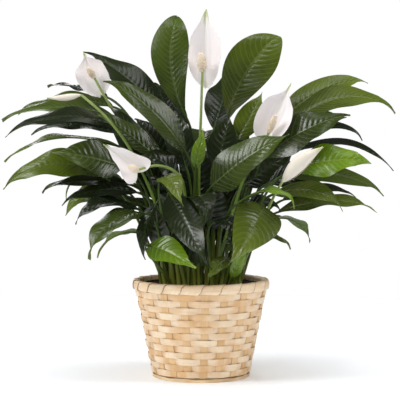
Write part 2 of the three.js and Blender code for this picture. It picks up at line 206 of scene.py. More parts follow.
CAMERA_PLACE = (-0.0015, -1.912, 0.330)
CAMERA_TIP = math.radians(1.8)
LENS_LENGTH = 111.9
lens = bpy.data.cameras.new("camera")
lens.sensor_width = 36
lens.lens = LENS_LENGTH
camera = bpy.data.objects.new("camera", lens)
camera.location = CAMERA_PLACE
camera.rotation_euler = (math.pi / 2 - CAMERA_TIP, 0, 0)
scene.collection.objects.link(camera)
scene.camera = camera


# ---------------------------------------------------------------- basket wall
# Twenty flat bamboo stakes stand round the basket, and thirteen rows of split bamboo strip go in
# front of one stake and behind the next, in turn from row to row. Nothing but the weave holds it.
STAKES = 20
ROWS = 13
BASE_RADIUS = 75.5 * MM  # of the wall's outside, carried on down to the ground
SLOPE = 0.1987  # how far the wall leans out, over its height
WALL_LOW = 6.9 * MM
WALL_HIGH = 133.5 * MM
PITCH = (WALL_HIGH - WALL_LOW) / ROWS
WEAVE_INSET = 3.0 * MM  # how far the middle of the weave is inside the wall's outside
SWING = 1.25 * MM  # how far a strip goes in and out between the stakes
LAP = 1.055  # turns of one strip, which runs on over its own start
STRIP_POINTS = 213
FIRST_STAKE = math.radians(3)


def geometry_tree(name, **inputs):
    """A geometry tree with named inputs; gives the tree and what comes in."""
    tree = bpy.data.node_groups.new(name, "GeometryNodeTree")
    kinds = {int: "NodeSocketInt", float: "NodeSocketFloat", Vector: "NodeSocketVector"}
    tree.interface.new_socket("Geometry", in_out="INPUT", socket_type="NodeSocketGeometry")
    for label, value in inputs.items():
        kind = kinds.get(type(value), "NodeSocketMaterial")
        socket = tree.interface.new_socket(label.replace("_", " "), in_out="INPUT", socket_type=kind)
        if value is not None:
            socket.default_value = value
    tree.interface.new_socket("Geometry", in_out="OUTPUT", socket_type="NodeSocketGeometry")
    start = tree.nodes.new("NodeGroupInput")
    labels = ("Geometry", *inputs)
    return tree, {label: Number(tree, start.outputs[label.replace("_", " ")]) for label in labels}


def finish_tree(tree, geometry, material, chosen=True):
    """Close a tree with Realize Instances and Set Material, on the whole or on what is chosen."""
    real = add_node(tree, "GeometryNodeRealizeInstances", {"Geometry": geometry})
    dressed = add_node(tree, "GeometryNodeSetMaterial", {
        0: real.outputs[0], "Selection": chosen, "Material": material})
    add_node(tree, "NodeGroupOutput", {0: dressed.outputs[0]})
    return tree


def made_by(tree, name, start=None, **values):
    """Run a geometry tree on a mesh and keep the result as a plain mesh object."""
    item = mesh_object(name, start or bpy.data.meshes.new(name))
    modifier = item.modifiers.new("tree", "NODES")
    modifier.node_group = tree
    wanted = {label.replace("_", " "): value for label, value in values.items()}
    for socket in tree.interface.items_tree:
        if socket.in_out == "INPUT" and socket.name in wanted:
            modifier[socket.identifier] = wanted[socket.name]
    depsgraph = bpy.context.evaluated_depsgraph_get()
    result = bpy.data.meshes.new_from_object(
        item.evaluated_get(depsgraph), preserve_all_data_layers=True, depsgraph=depsgraph)
    item.modifiers.remove(modifier)
    item.data = result
    result.name = name
    return item


def vector_of(tree, x, y, z):
    return add_node(tree, "ShaderNodeCombineXYZ", {0: x, 1: y, 2: z}).outputs[0]


def parts_of(tree, vector):
    """A vector's three parts, as numbers."""
    apart = add_node(tree, "ShaderNodeSeparateXYZ", {0: vector})
    return [Number(tree, socket) for socket in apart.outputs]


def store(tree, geometry, label, value, kind="FLOAT", domain="POINT"):
    """Geometry that carries a value under a name."""
    return add_node(tree, "GeometryNodeStoreNamedAttribute", {
        "Geometry": geometry, "Name": label, "Value": value}, data_type=kind, domain=domain).outputs[0]


def carried(tree, label):
    """A number that the geometry carries under a name."""
    node = add_node(tree, "GeometryNodeInputNamedAttribute", {"Name": label}, data_type="FLOAT")
    return Number(tree, node.outputs[0])


def numbered_boxes(tree, count, cuts):
    """Copies of a unit box, cut into a grid with so many points along x, y and z.

    Gives the geometry, each point's place in its own box, from -0.5 to 0.5, and the box's number.
    """
    points = add_node(tree, "GeometryNodeMeshLine", {"Count": count})
    box = add_node(tree, "GeometryNodeMeshCube", {
        "Size": (1, 1, 1), "Vertices X": cuts[0], "Vertices Y": cuts[1], "Vertices Z": cuts[2]})
    copies = add_node(tree, "GeometryNodeInstanceOnPoints", {
        "Points": points.outputs[0], "Instance": box.outputs[0]})
    index = add_node(tree, "GeometryNodeInputIndex").outputs[0]
    numbered = store(tree, copies.outputs[0], "number", index, domain="INSTANCE")
    real = add_node(tree, "GeometryNodeRealizeInstances", {"Geometry": numbered})
    number = carried(tree, "number")
    x, y, z = parts_of(tree, add_node(tree, "GeometryNodeInputPosition").outputs[0])
    # each copy sits one unit further along Z, where the line's points are
    return real.outputs[0], x, y, z - number, number


def bent_round(tree, size, geometry, course, strip, edge):
    """Bend boxes along their course round the pot and close the tree.

    Each point keeps its place on its own strip and how near it is to the strip's edge.
    """
    radius, angle, height = course
    place = vector_of(tree, radius * angle.cos(), radius * angle.sin(), height)
    geometry = store(tree, geometry, "strip", strip, "FLOAT_VECTOR")
    geometry = store(tree, geometry, "edge", edge.size() * 2)
    moved = add_node(tree, "GeometryNodeSetPosition", {"Geometry": geometry, "Position": place})
    return finish_tree(tree, moved.outputs[0], size["Material"])


def look_group(name, inputs, outputs):
    """A shader node group with named sockets; gives the group and what comes in."""
    group = bpy.data.node_groups.new(name, "ShaderNodeTree")
    for label, kind in inputs.items():
        group.interface.new_socket(label, in_out="INPUT", socket_type="NodeSocket" + kind)
    for label in outputs:
        group.interface.new_socket(label, in_out="OUTPUT", socket_type="NodeSocketFloat")
    return group, group.nodes.new("NodeGroupInput").outputs


def make_bamboo_grain():
    """Fibres along a strip, the tone of each strip, and darker specks with a painted shade line along the
    strip's edges, for every bamboo finish.
    """
    group, given = look_group(
        "bamboo grain", {"Strip": "Vector", "Edge": "Float"}, ("Fibres", "Tone", "Stain and edge shade"))
    along, across, number = parts_of(group, given["Strip"])
    drawn = vector_of(group, along * 14.0, across * 900.0, number * 7.3)
    fibres = noise_in(group, drawn, 1.0, 4.0, 0.6)
    patch = vector_of(group, along * 22.0, across * 20.0, number * 5.1)
    tone = noise_in(group, patch, 1.0, 2.0, 0.6)
    speck = vector_of(group, along * 160.0, across * 500.0, number * 3.7)
    specks = ((noise_in(group, speck, 1.0, 2.0, 0.6) - 0.62) * 4.0).within()
    # painted shade: the outer part of a strip's width, on each side, drawn darker where the gap between
    # strips lies
    line = ((Number(group, given["Edge"]) - 0.88) * 9.0).within()
    stain_and_edge_shade = (specks * 0.5 + line).within()
    add_node(group, "NodeGroupOutput", enumerate((fibres, tone, stain_and_edge_shade)))
    return group


def mesh_value(tree, label, output="Fac"):
    """What the mesh carries under a name, for a material."""
    return add_node(tree, "ShaderNodeAttribute", attribute_name=label).outputs[output]


def surface(tree, shader, colour, relief, strength, depth, roughness=None):
    """Feed a shader its colour, its fine relief and, where it changes, its roughness."""
    tree.links.new(colour, shader.inputs["Base Color"])
    bump = add_node(tree, "ShaderNodeBump", {"Height": relief, "Strength": strength, "Distance": depth})
    tree.links.new(bump.outputs[0], shader.inputs["Normal"])
    if roughness is not None:
        tree.links.new(roughness.socket, shader.inputs["Roughness"])


bamboo_grain = make_bamboo_grain()


def bamboo(name, pale, deep, brown, edging):
    """Split bamboo: silky fibres along the strip, pale to tan, with darker specks and a browner line along
    each edge, painted shade for the gap between strips.
    """
    material, tree, shader = new_material(name, Specular_IOR_Level=0.35)
    grain = add_node(tree, "ShaderNodeGroup", {
        "Strip": mesh_value(tree, "strip", "Vector"), "Edge": mesh_value(tree, "edge")},
        node_tree=bamboo_grain)
    fibres, tone, stain_and_edge_shade = (Number(tree, socket) for socket in grain.outputs)
    colour = mix(tree, ((tone - 0.5) * 4.2 + 0.4).within(), pale, deep)
    colour = mix(tree, ((fibres - 0.42) * 2.4).within() * 0.3, colour, brown)
    colour = mix(tree, stain_and_edge_shade * edging, colour, brown)
    surface(tree, shader, colour, fibres, 0.35, 0.3 * MM, fibres * 0.25 + 0.38)
    return material


strip_bamboo = bamboo("bamboo strip", (0.85, 0.69, 0.50), (0.70, 0.44, 0.22), (0.50, 0.29, 0.12), 0.4)
stake_bamboo = bamboo("bamboo stake", (0.76, 0.52, 0.28), (0.66, 0.41, 0.19), (0.42, 0.23, 0.09), 0.3)


def weaver_tree():
    """Each row is one strip that swings out over a stake and in behind the next."""
    tree, size = geometry_tree(
        "woven rows", Rows=ROWS, Pitch=PITCH, Low=WALL_LOW, Base_radius=BASE_RADIUS, Slope=SLOPE,
        Inset=WEAVE_INSET, Swing=SWING, Strip_height=9.9 * MM, Thickness=0.9 * MM, Material=None)
    geometry, x, y, z, row = numbered_boxes(tree, size["Rows"], (STRIP_POINTS, 2, 4))
    turn = (x + 0.5) * LAP
    angle = turn * TURN + row * 2.4
    face = ((angle - FIRST_STAKE) * (STAKES / 2) + row * math.pi).cos()
    face = face * (1.9 - face * face * 0.9)
    wander = (angle * 3 + row * 1.7).sin() * 0.25 * MM + (angle * 7 + row * 4.1).sin() * 0.12 * MM
    tall = size["Strip_height"] * (1 + 0.035 * (angle * 2 + row * 2.9).sin())
    height = size["Low"] + size["Pitch"] * (row + 0.5) + wander + z * tall
    cup = (1 - z * z * 4) * 0.2 * MM
    radius = size["Base_radius"] + size["Slope"] * height - size["Inset"] + size["Swing"] * face
    radius = radius + turn * size["Thickness"] * 1.1 + y * size["Thickness"] + cup
    strip = vector_of(tree, angle * 0.09, z * tall, row)
    return bent_round(tree, size, geometry, (radius, angle, height), strip, z)


def stake_tree():
    """Each stake stands up the wall and gives a little where a row presses on it."""
    tree, size = geometry_tree(
        "stakes", Stakes=STAKES, Low=WALL_LOW, High=WALL_HIGH, Pitch=PITCH, Base_radius=BASE_RADIUS,
        Slope=SLOPE, Inset=WEAVE_INSET, Give=SWING * 0.25, Width=11.4 * MM, Thickness=1.1 * MM,
        Material=None)
    geometry, x, y, z, stake = numbered_boxes(tree, size["Stakes"], (2, 4, ROWS * 6))
    height = size["Low"] + (z + 0.5) * (size["High"] - size["Low"])
    wave = ((height - size["Low"]) / size["Pitch"] - 0.5 + stake) * math.pi
    radius = size["Base_radius"] + size["Slope"] * height - size["Inset"] - size["Give"] * wave.cos()
    radius = radius + x * size["Thickness"] + (1 - y * y * 4) * 0.2 * MM
    lean = (stake * 2.7).sin() * 0.012 + (stake * 5.3 + height * 40).sin() * 0.006
    angle = stake * (TURN / STAKES) + FIRST_STAKE + lean + y * size["Width"] / radius
    strip = vector_of(tree, height, y * size["Width"], stake + 40)
    return bent_round(tree, size, geometry, (radius, angle, height), strip, y)


weavers = made_by(weaver_tree(), "woven_strips", Material=strip_bamboo)
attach(weavers, "root")
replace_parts(weavers, "basket_wall")
stakes = made_by(stake_tree(), "basket_stakes", Material=stake_bamboo)
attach(stakes, "root")


# ---------------------------------------------------------------- basket rim
# A thick hoop round the mouth, wound over with one wide strip on the slant: each turn laps the edge
# of the turn before, so that slanting seams show on the outside, the top and the inside.
WRAPS = 22
POINTS_PER_WRAP = 28
RIM_RADIUS = 99.5 * MM
RIM_MIDDLE = 141.15 * MM
RIM_HALF_THICK = 4.6 * MM
RIM_HALF_TALL = 6.4 * MM


def rim_tree():
    """One long strip whose course is wound round the hoop while it goes round the pot."""
    tree, size = geometry_tree(
        "wound rim", Wraps=WRAPS, Radius=RIM_RADIUS, Middle=RIM_MIDDLE, Half_thick=RIM_HALF_THICK,
        Half_tall=RIM_HALF_TALL, Thickness=0.8 * MM, Lap=1.1, Material=None)
    geometry, x, y, z, number = numbered_boxes(tree, 1, (WRAPS * POINTS_PER_WRAP, 2, 5))
    wound = (x + 0.5) * (size["Wraps"] + 0.3)
    slant = (z * z * 4) * 0.012 * (wound * 9.1).sin()
    angle = (wound + z * size["Lap"] + slant) * TURN / size["Wraps"]
    corner = wound * TURN
    lift = (z + 0.5) * size["Thickness"] * 1.3 + y * size["Thickness"]
    lift = lift + (wound * 2.9).sin() * 0.15 * MM
    out = corner.cos()
    up = corner.sin()
    radius = size["Radius"] + (size["Half_thick"] + lift) * out.maths("SIGN") * out.size() ** 0.6
    height = size["Middle"] + (size["Half_tall"] + lift) * up.maths("SIGN") * up.size() ** 0.6
    strip = vector_of(tree, wound * 0.045, z * 30 * MM, wound.maths("FLOOR") + 80)
    return bent_round(tree, size, geometry, (radius, angle, height), strip, z)


# the strong last value paints the seams between the wound turns darker: painted shade
rim_bamboo = bamboo("bamboo rim", (0.88, 0.71, 0.50), (0.80, 0.57, 0.34), (0.30, 0.16, 0.07), 0.9)
rim = made_by(rim_tree(), "wound_rim", Material=rim_bamboo)
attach(rim, "root")
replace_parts(rim, "basket_rim")


# ---------------------------------------------------------------- basket foot
# Two hoops of thin bent strip, one inside the other, hold the stakes' lower ends and carry the
# basket. The strip is split by hand, so its upper edge is uneven.
FOOT_LAP = 1.02
FOOT_POINTS = 220


def foot_tree():
    """Two hoops that each run on over their own start."""
    tree, size = geometry_tree(
        "foot hoops", Hoops=2, Radius=75.3 * MM, Height=5.0 * MM, Thickness=1.5 * MM, Material=None)
    geometry, x, y, z, hoop = numbered_boxes(tree, size["Hoops"], (FOOT_POINTS, 2, 4))
    turn = (x + 0.5) * FOOT_LAP
    angle = turn * TURN + hoop * 2.2
    rough = (angle * 23).sin() * 0.3 * MM + (angle * 9 + hoop).sin() * 0.5 * MM + hoop * 1.2 * MM
    height = (z + 0.5) * (size["Height"] + rough)
    radius = size["Radius"] - (hoop * 3.6 + 1) * size["Thickness"] + y * size["Thickness"]
    radius = radius + (turn - 0.5) * size["Thickness"] * 0.6 + (1 - z * z * 4) * 0.3 * MM
    strip = vector_of(tree, angle * 0.075, z * size["Height"], hoop + 120)
    return bent_round(tree, size, geometry, (radius, angle, height), strip, z)


foot_bamboo = bamboo("bamboo foot", (0.82, 0.62, 0.38), (0.66, 0.43, 0.21), (0.26, 0.14, 0.06), 0.6)
foot = made_by(foot_tree(), "foot_hoops", Material=foot_bamboo)
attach(foot, "root")
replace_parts(foot, "basket_foot")


# ---------------------------------------------------------------- basket floor
# A flat mat of crossed strips inside the foot. Only its underside can be seen, when the basket is
# lifted; it keeps the frame's solid and gets the look of strips crossing over and under.
MAT_STRIP = 10 * MM


def floor_mat():
    """Crossed strips, raised where they cross, as colour and relief."""
    material, tree, shader = new_material("floor mat", Roughness=0.6)
    x, y, z = parts_of(tree, object_place(tree))
    crossing = math.pi / MAT_STRIP
    weave = (x * crossing).sin() * (y * crossing).sin()
    grain = noise_in(tree, vector_of(tree, x * 60, y * 700, 0.0), 1.0)
    colour = mix(tree, (weave * 2 + 0.5).within(), (0.60, 0.38, 0.18), (0.45, 0.26, 0.11))
    colour = mix(tree, grain * 0.5, colour, (0.34, 0.19, 0.08))
    surface(tree, shader, colour, weave.size().maths("SQRT") + grain * 0.2, 0.8, 1 * MM)
    return material


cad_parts["basket_floor"].material_slots[0].material = floor_mat()


# ---------------------------------------------------------------- nursery pot
# The thin black plastic pot the plant was grown in, set down inside the basket. Its rolled lip is
# just below the top of the basket's rim, and it is scuffed and dusted with soil.
def turned_mesh(name, profile, segments):
    """A closed solid of revolution; its profile of radius and height starts and ends on the axis."""
    rings = profile[1:-1]
    verts = [(0, 0, profile[0][1])]
    for radius, height in rings:
        for k in range(segments):
            angle = TURN * k / segments
            verts.append((radius * math.cos(angle), radius * math.sin(angle), height))
    verts.append((0, 0, profile[-1][1]))
    faces = []
    for k in range(segments):
        after = (k + 1) % segments
        faces.append((0, 1 + after, 1 + k))
        for ring in range(len(rings) - 1):
            low = 1 + ring * segments
            high = low + segments
            faces.append((low + k, low + after, high + after, high + k))
        last = 1 + (len(rings) - 1) * segments
        faces.append((last + k, last + after, len(verts) - 1))
    mesh = bpy.data.meshes.new(name)
    mesh.from_pydata(verts, [], faces)
    return mesh


def pot_plastic():
    """Black plastic, dusted brown in patches, with fine scuffs."""
    material, tree, shader = new_material("pot plastic")
    place = object_place(tree)
    dust = ((noise_in(tree, place, 90.0, 5.0) - 0.5) * 4).within()
    scuff = noise_in(tree, place, 400.0, 2.0)
    colour = mix(tree, dust, (0.012, 0.012, 0.012), (0.05, 0.035, 0.025))
    surface(tree, shader, colour, scuff, 0.1, 0.2 * MM, 0.35 + scuff * 0.3)
    return material


# radius and height, in millimetres, from the middle of the bottom up the outside, over the lip and
# down the inside
POT_PROFILE = [
    (0, 4.4), (60, 4.4), (61, 5.2), (89.3, 132), (91.2, 133), (91.8, 136), (91.9, 141), (91.4, 142),
    (90.6, 142), (90.2, 141), (89.9, 135), (59.6, 5.8), (0, 5.8)]
mesh = turned_mesh("grown_in_pot", [(r * MM, h * MM) for r, h in POT_PROFILE], 128)
mesh.materials.append(pot_plastic())
mesh.shade_smooth()
pot = mesh_object("grown_in_pot", mesh)
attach(pot, "root")
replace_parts(pot, "nursery_pot")


# ---------------------------------------------------------------- soil
# Damp potting compost, nearly level, a little higher in the middle: dark peat with crumbs, bits of
# reddish bark and pale fibres lying loose on top.
SOIL_TOP = 139.5
SOIL_RISE = 3.0
SOIL_EDGE = 90.0


def soil_height(x, y):
    """The soil's height in millimetres at a place in millimetres."""
    return SOIL_TOP + SOIL_RISE * (1 - math.hypot(x, y) / SOIL_EDGE)


def soil_look(name, deep, light, bark):
    """Damp peat in clumps from one brown to another, flecked with bark."""
    material, tree, shader = new_material(name, Specular_IOR_Level=0.25)
    place = object_place(tree)
    clump = noise_in(tree, place, 260.0, 5.0, 0.65)
    fleck = ((noise_in(tree, place, 700.0, 2.0) - 0.6) * 9).within()
    colour = mix(tree, ((clump - 0.4) * 3).within(), deep, light)
    colour = mix(tree, fleck, colour, bark)
    surface(tree, shader, colour, clump, 0.7, 0.8 * MM, 0.75 + clump * 0.25)
    return material


def soil_profile(rings=34):
    """The plug of soil from the middle of its underside, round its edge, to the middle on top."""
    points = [(0, SOIL_TOP - 14), (SOIL_EDGE - 3, SOIL_TOP - 14), (SOIL_EDGE - 0.3, SOIL_TOP - 2)]
    for i in range(rings):
        radius = (SOIL_EDGE - 0.2) * (1 - i / rings)
        points.append((radius, soil_height(radius, 0)))
    return points + [(0, SOIL_TOP + SOIL_RISE)]


mesh = turned_mesh("compost", [(r * MM, h * MM) for r, h in soil_profile()], 110)
for vertex in mesh.vertices:
    if vertex.co.z > (SOIL_TOP - 1) * MM:
        rough = noise.fractal(vertex.co * 90, 0.6, 2.1, 4) * 1.6 + noise.noise(vertex.co * 25) * 1.5
        inside = min(1.0, (SOIL_EDGE * MM - math.hypot(*vertex.co.xy)) / (6 * MM))
        vertex.co.z += rough * inside * MM
compost_look = soil_look("compost", (0.012, 0.007, 0.004), (0.045, 0.026, 0.015), (0.10, 0.045, 0.02))
mesh.materials.append(compost_look)
mesh.shade_smooth()
compost = mesh_object("compost", mesh)
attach(compost, "root")
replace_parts(compost, "soil")


def scatter_tree(name, shape):
    """Small bodies strewn over a surface's upward faces, turned and sized at random."""
    tree, size = geometry_tree(
        name, Density=9e4, Smallest=0.4, Largest=1.6, Seed=5, Material=None)
    x, y, up = parts_of(tree, add_node(tree, "GeometryNodeInputNormal").outputs[0])
    spots = add_node(tree, "GeometryNodeDistributePointsOnFaces", {
        "Mesh": size["Geometry"], "Selection": up.maths("GREATER_THAN", 0.5),
        "Density": size["Density"], "Seed": size["Seed"]})
    spin = add_node(tree, "FunctionNodeRandomValue", {
        1: (TURN, TURN, TURN), "Seed": 3}, data_type="FLOAT_VECTOR")
    grow = add_node(tree, "FunctionNodeRandomValue", {
        2: size["Smallest"], 3: size["Largest"], "Seed": 4}, data_type="FLOAT")
    bodies = add_node(tree, "GeometryNodeInstanceOnPoints", {
        "Points": spots.outputs[0], "Instance": shape(tree), "Rotation": spin.outputs[0],
        "Scale": grow.outputs[1]})
    return finish_tree(tree, bodies.outputs[0], size["Material"])


def crumb(tree):
    """A squashed lump of peat."""
    ball = add_node(tree, "GeometryNodeMeshIcoSphere", {"Radius": 1 * MM, "Subdivisions": 1})
    squash = add_node(tree, "GeometryNodeTransform", {"Geometry": ball.outputs[0], "Scale": (1, 0.8, 0.6)})
    return squash.outputs[0]


def fibre(tree):
    """A short curved rod."""
    arc = add_node(tree, "GeometryNodeCurveQuadraticBezier", {
        "Resolution": 4, "Start": (-4 * MM, 0, 0), "Middle": (0, 2 * MM, 1 * MM), "End": (5 * MM, 0, 0)})
    section = add_node(tree, "GeometryNodeCurvePrimitiveCircle", {"Resolution": 3, "Radius": 0.28 * MM})
    rod = add_node(tree, "GeometryNodeCurveToMesh", {
        "Curve": arc.outputs[0], "Profile Curve": section.outputs[0], "Fill Caps": True})
    return rod.outputs[0]


crumb_look = soil_look("crumbs", (0.010, 0.006, 0.004), (0.07, 0.04, 0.02), (0.13, 0.06, 0.03))
bark_look = soil_look("bark fibres", (0.05, 0.022, 0.010), (0.14, 0.07, 0.035), (0.24, 0.15, 0.08))
crumbs = made_by(scatter_tree("crumbs", crumb), "compost_crumbs", compost.data.copy(), Material=crumb_look)
fibres = made_by(scatter_tree("fibres", fibre), "bark_fibres", compost.data.copy(),
                 Density=1.6e4, Seed=9, Material=bark_look)
for item in (crumbs, fibres):
    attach(item, "root")


# ---------------------------------------------------------------- leaves
# Each leaf is a thin blade, folded a little along its midrib and puckered between its side veins,
# on a round stalk that stands in the soil and runs on beneath the blade as the midrib.
PLANTED = 12  # millimetres of stalk below the soil
LEAN = 0.75  # how far a stalk leans out at the soil, over the straight line to its blade
FOLD = 0.22  # rise of a blade's edges over its half width
BLADE_THICKNESS = 0.5 * MM
VEIN_SPACING = 9.0 * MM
VEIN_SWEEP = 0.17  # how far a side vein runs towards the tip, over the blade's length
PUCKER = 0.85 * MM
RIPPLE = (0.03, 0.075)  # least and most height of a margin's waves, over the blade's width
TIP_CURL = 9 * MM
TIP_HOOK = 5 * MM
GROOVE = 0.7 * MM  # depth of the furrow over the midrib
BLADE_CUTS = (98, 16)  # along and across
STALK_STEPS = 23
MIDRIB_STEPS = 16
BLUNT = ("top_left", "top_right")  # the leaves whose tip is rounded

# name, foot in the soil, then the blade's start, middle and tip, width, upward side, and look
LEAVES = [
    ("top_left", (-9, 13), (-24, 24, 400), (-48, 38, 484), (-36, 64, 562), 60, (0, -1, 0.3), "green"),
    ("top_right", (11, 12), (42, 14, 398), (68, 2, 464), (120, 14, 528), 76, (-0.1, -1, 0.3), "olive"),
    ("top_back_left", (-24, 30), (-66, 74, 412), (-122, 96, 466), (-190, 112, 510),
     60, (0.1, -0.7, 0.7), "dark"),
    ("high_left", (-14, -16), (-22, -36, 342), (-76, -68, 408), (-140, -94, 451),
     52, (0.2, -0.8, 0.6), "green"),
    ("spotted", (22, 20), (56, 44, 362), (78, 52, 402), (98, 66, 440), 40, (0, -1, 0.3), "olive"),
    ("left_a", (-38, 34), (-150, 88, 432), (-205, 128, 452), (-256, 170, 456), 42, (0, -0.2, 1), "dark"),
    ("left_b", (-40, 22), (-138, 46, 415), (-218, 80, 428), (-300, 106, 411), 52, (0, -0.5, 1), "green"),
    ("left_c", (-44, 10), (-136, 10, 400), (-222, 12, 413), (-308, 4, 398), 50, (0, -0.6, 1), "green"),
    ("left_d", (-42, -2), (-132, -24, 384), (-212, -42, 396), (-294, -58, 369), 48, (0, -0.6, 1), "dark"),
    ("left_e", (-46, -14), (-118, -34, 350), (-208, -68, 365), (-290, -96, 332), 50, (0, -0.1, 1), "olive"),
    ("left_f", (-28, -4), (-60, -14, 330), (-110, -28, 372), (-156, -38, 404),
     44, (0.1, -0.7, 0.7), "green"),
    ("left_g", (-50, -28), (-116, -70, 322), (-160, -94, 335), (-214, -112, 345),
     58, (0, -1, 0.5), "green"),
    ("left_h", (-56, -6), (-148, -20, 306), (-222, -28, 326), (-304, -22, 291),
     54, (0, -0.8, 0.7), "olive"),
    ("left_i", (-58, 22), (-124, 52, 300), (-176, 74, 284), (-222, 88, 244),
     48, (-0.1, -0.9, 0.8), "olive"),
    ("left_j", (-60, -20), (-92, -40, 256), (-146, -62, 268), (-190, -76, 240), 50, (0, -0.4, 1), "dark"),
    ("left_k", (-54, -38), (-84, -68, 252), (-132, -108, 240), (-164, -134, 190),
     54, (-0.3, -0.5, 1), "green"),
    ("front_low_left", (-44, -46), (-78, -92, 206), (-46, -122, 198), (-10, -146, 177),
     46, (0, -0.9, 0.6), "fresh"),
    ("front_dark", (-33, -52), (-46, -66, 280), (-22, -122, 240), (10, -162, 180),
     50, (-0.1, -0.8, 0.6), "dark"),
    ("front_curled", (-41, -36), (-58, -96, 304), (-42, -142, 302), (-28, -172, 266),
     34, (-0.3, -0.3, 1), "olive"),
    ("front_right", (8, -36), (14, -80, 290), (62, -114, 332), (126, -132, 368),
     68, (-0.2, -0.9, 0.6), "green"),
    ("front_fresh", (22, -52), (50, -104, 266), (98, -134, 288), (136, -156, 268),
     28, (0, -0.3, 1), "fresh"),
    ("front_round", (42, -42), (92, -82, 264), (76, -128, 236), (40, -156, 182),
     70, (0.3, -0.8, 0.6), "olive"),
    ("right_a", (38, 30), (128, 50, 398), (198, 66, 444), (270, 82, 460), 54, (0, -0.8, 0.8), "olive"),
    ("right_b", (42, 12), (136, 6, 388), (222, 6, 428), (302, 0, 408), 60, (0, -0.8, 1), "olive"),
    ("right_c", (30, -18), (92, -50, 336), (154, -74, 376), (218, -88, 400), 64, (0.1, -0.8, 0.7), "green"),
    ("right_d", (50, 24), (136, 62, 340), (226, 78, 358), (312, 78, 319), 46, (0, -0.3, 1), "dark"),
    ("right_e", (46, -30), (138, -74, 318), (194, -92, 331), (248, -104, 329), 56, (0, -1, 0.7), "fresh"),
    ("right_f", (52, -12), (130, -28, 308), (208, -38, 308), (278, -38, 281), 52, (0, -0.7, 1), "green"),
    ("right_g", (58, -26), (108, -54, 280), (162, -90, 286), (208, -116, 262), 46, (0, -0.8, 1), "olive"),
    ("right_h", (60, 8), (118, 16, 250), (202, 26, 268), (276, 22, 254), 46, (0, -0.5, 1), "olive"),
    ("back_a", (30, 44), (68, 98, 330), (108, 166, 346), (138, 236, 302), 58, (0, 0, 1), "green"),
    ("back_b", (2, 40), (4, 98, 352), (8, 176, 380), (14, 252, 346), 60, (0, 0, 1), "green"),
    ("back_c", (-28, 46), (-62, 96, 334), (-100, 160, 350), (-130, 230, 306), 58, (0, 0, 1), "dark"),
    ("back_d", (20, 58), (34, 82, 236), (60, 146, 252), (82, 208, 214), 50, (0, 0, 1), "olive"),
    ("back_e", (-18, 58), (-34, 82, 240), (-62, 148, 256), (-80, 214, 220), 50, (0, 0, 1), "green"),
    ("back_f", (48, 40), (88, 78, 226), (142, 126, 236), (186, 166, 200), 46, (0, 0, 1), "green"),
    ("back_g", (8, 28), (20, 58, 380), (38, 104, 438), (48, 150, 478), 56, (0, -0.8, 0.8), "dark"),
    ("back_h", (-6, 30), (-28, 74, 368), (-58, 118, 424), (-78, 166, 462), 52, (0, -0.8, 0.8), "dark"),
]
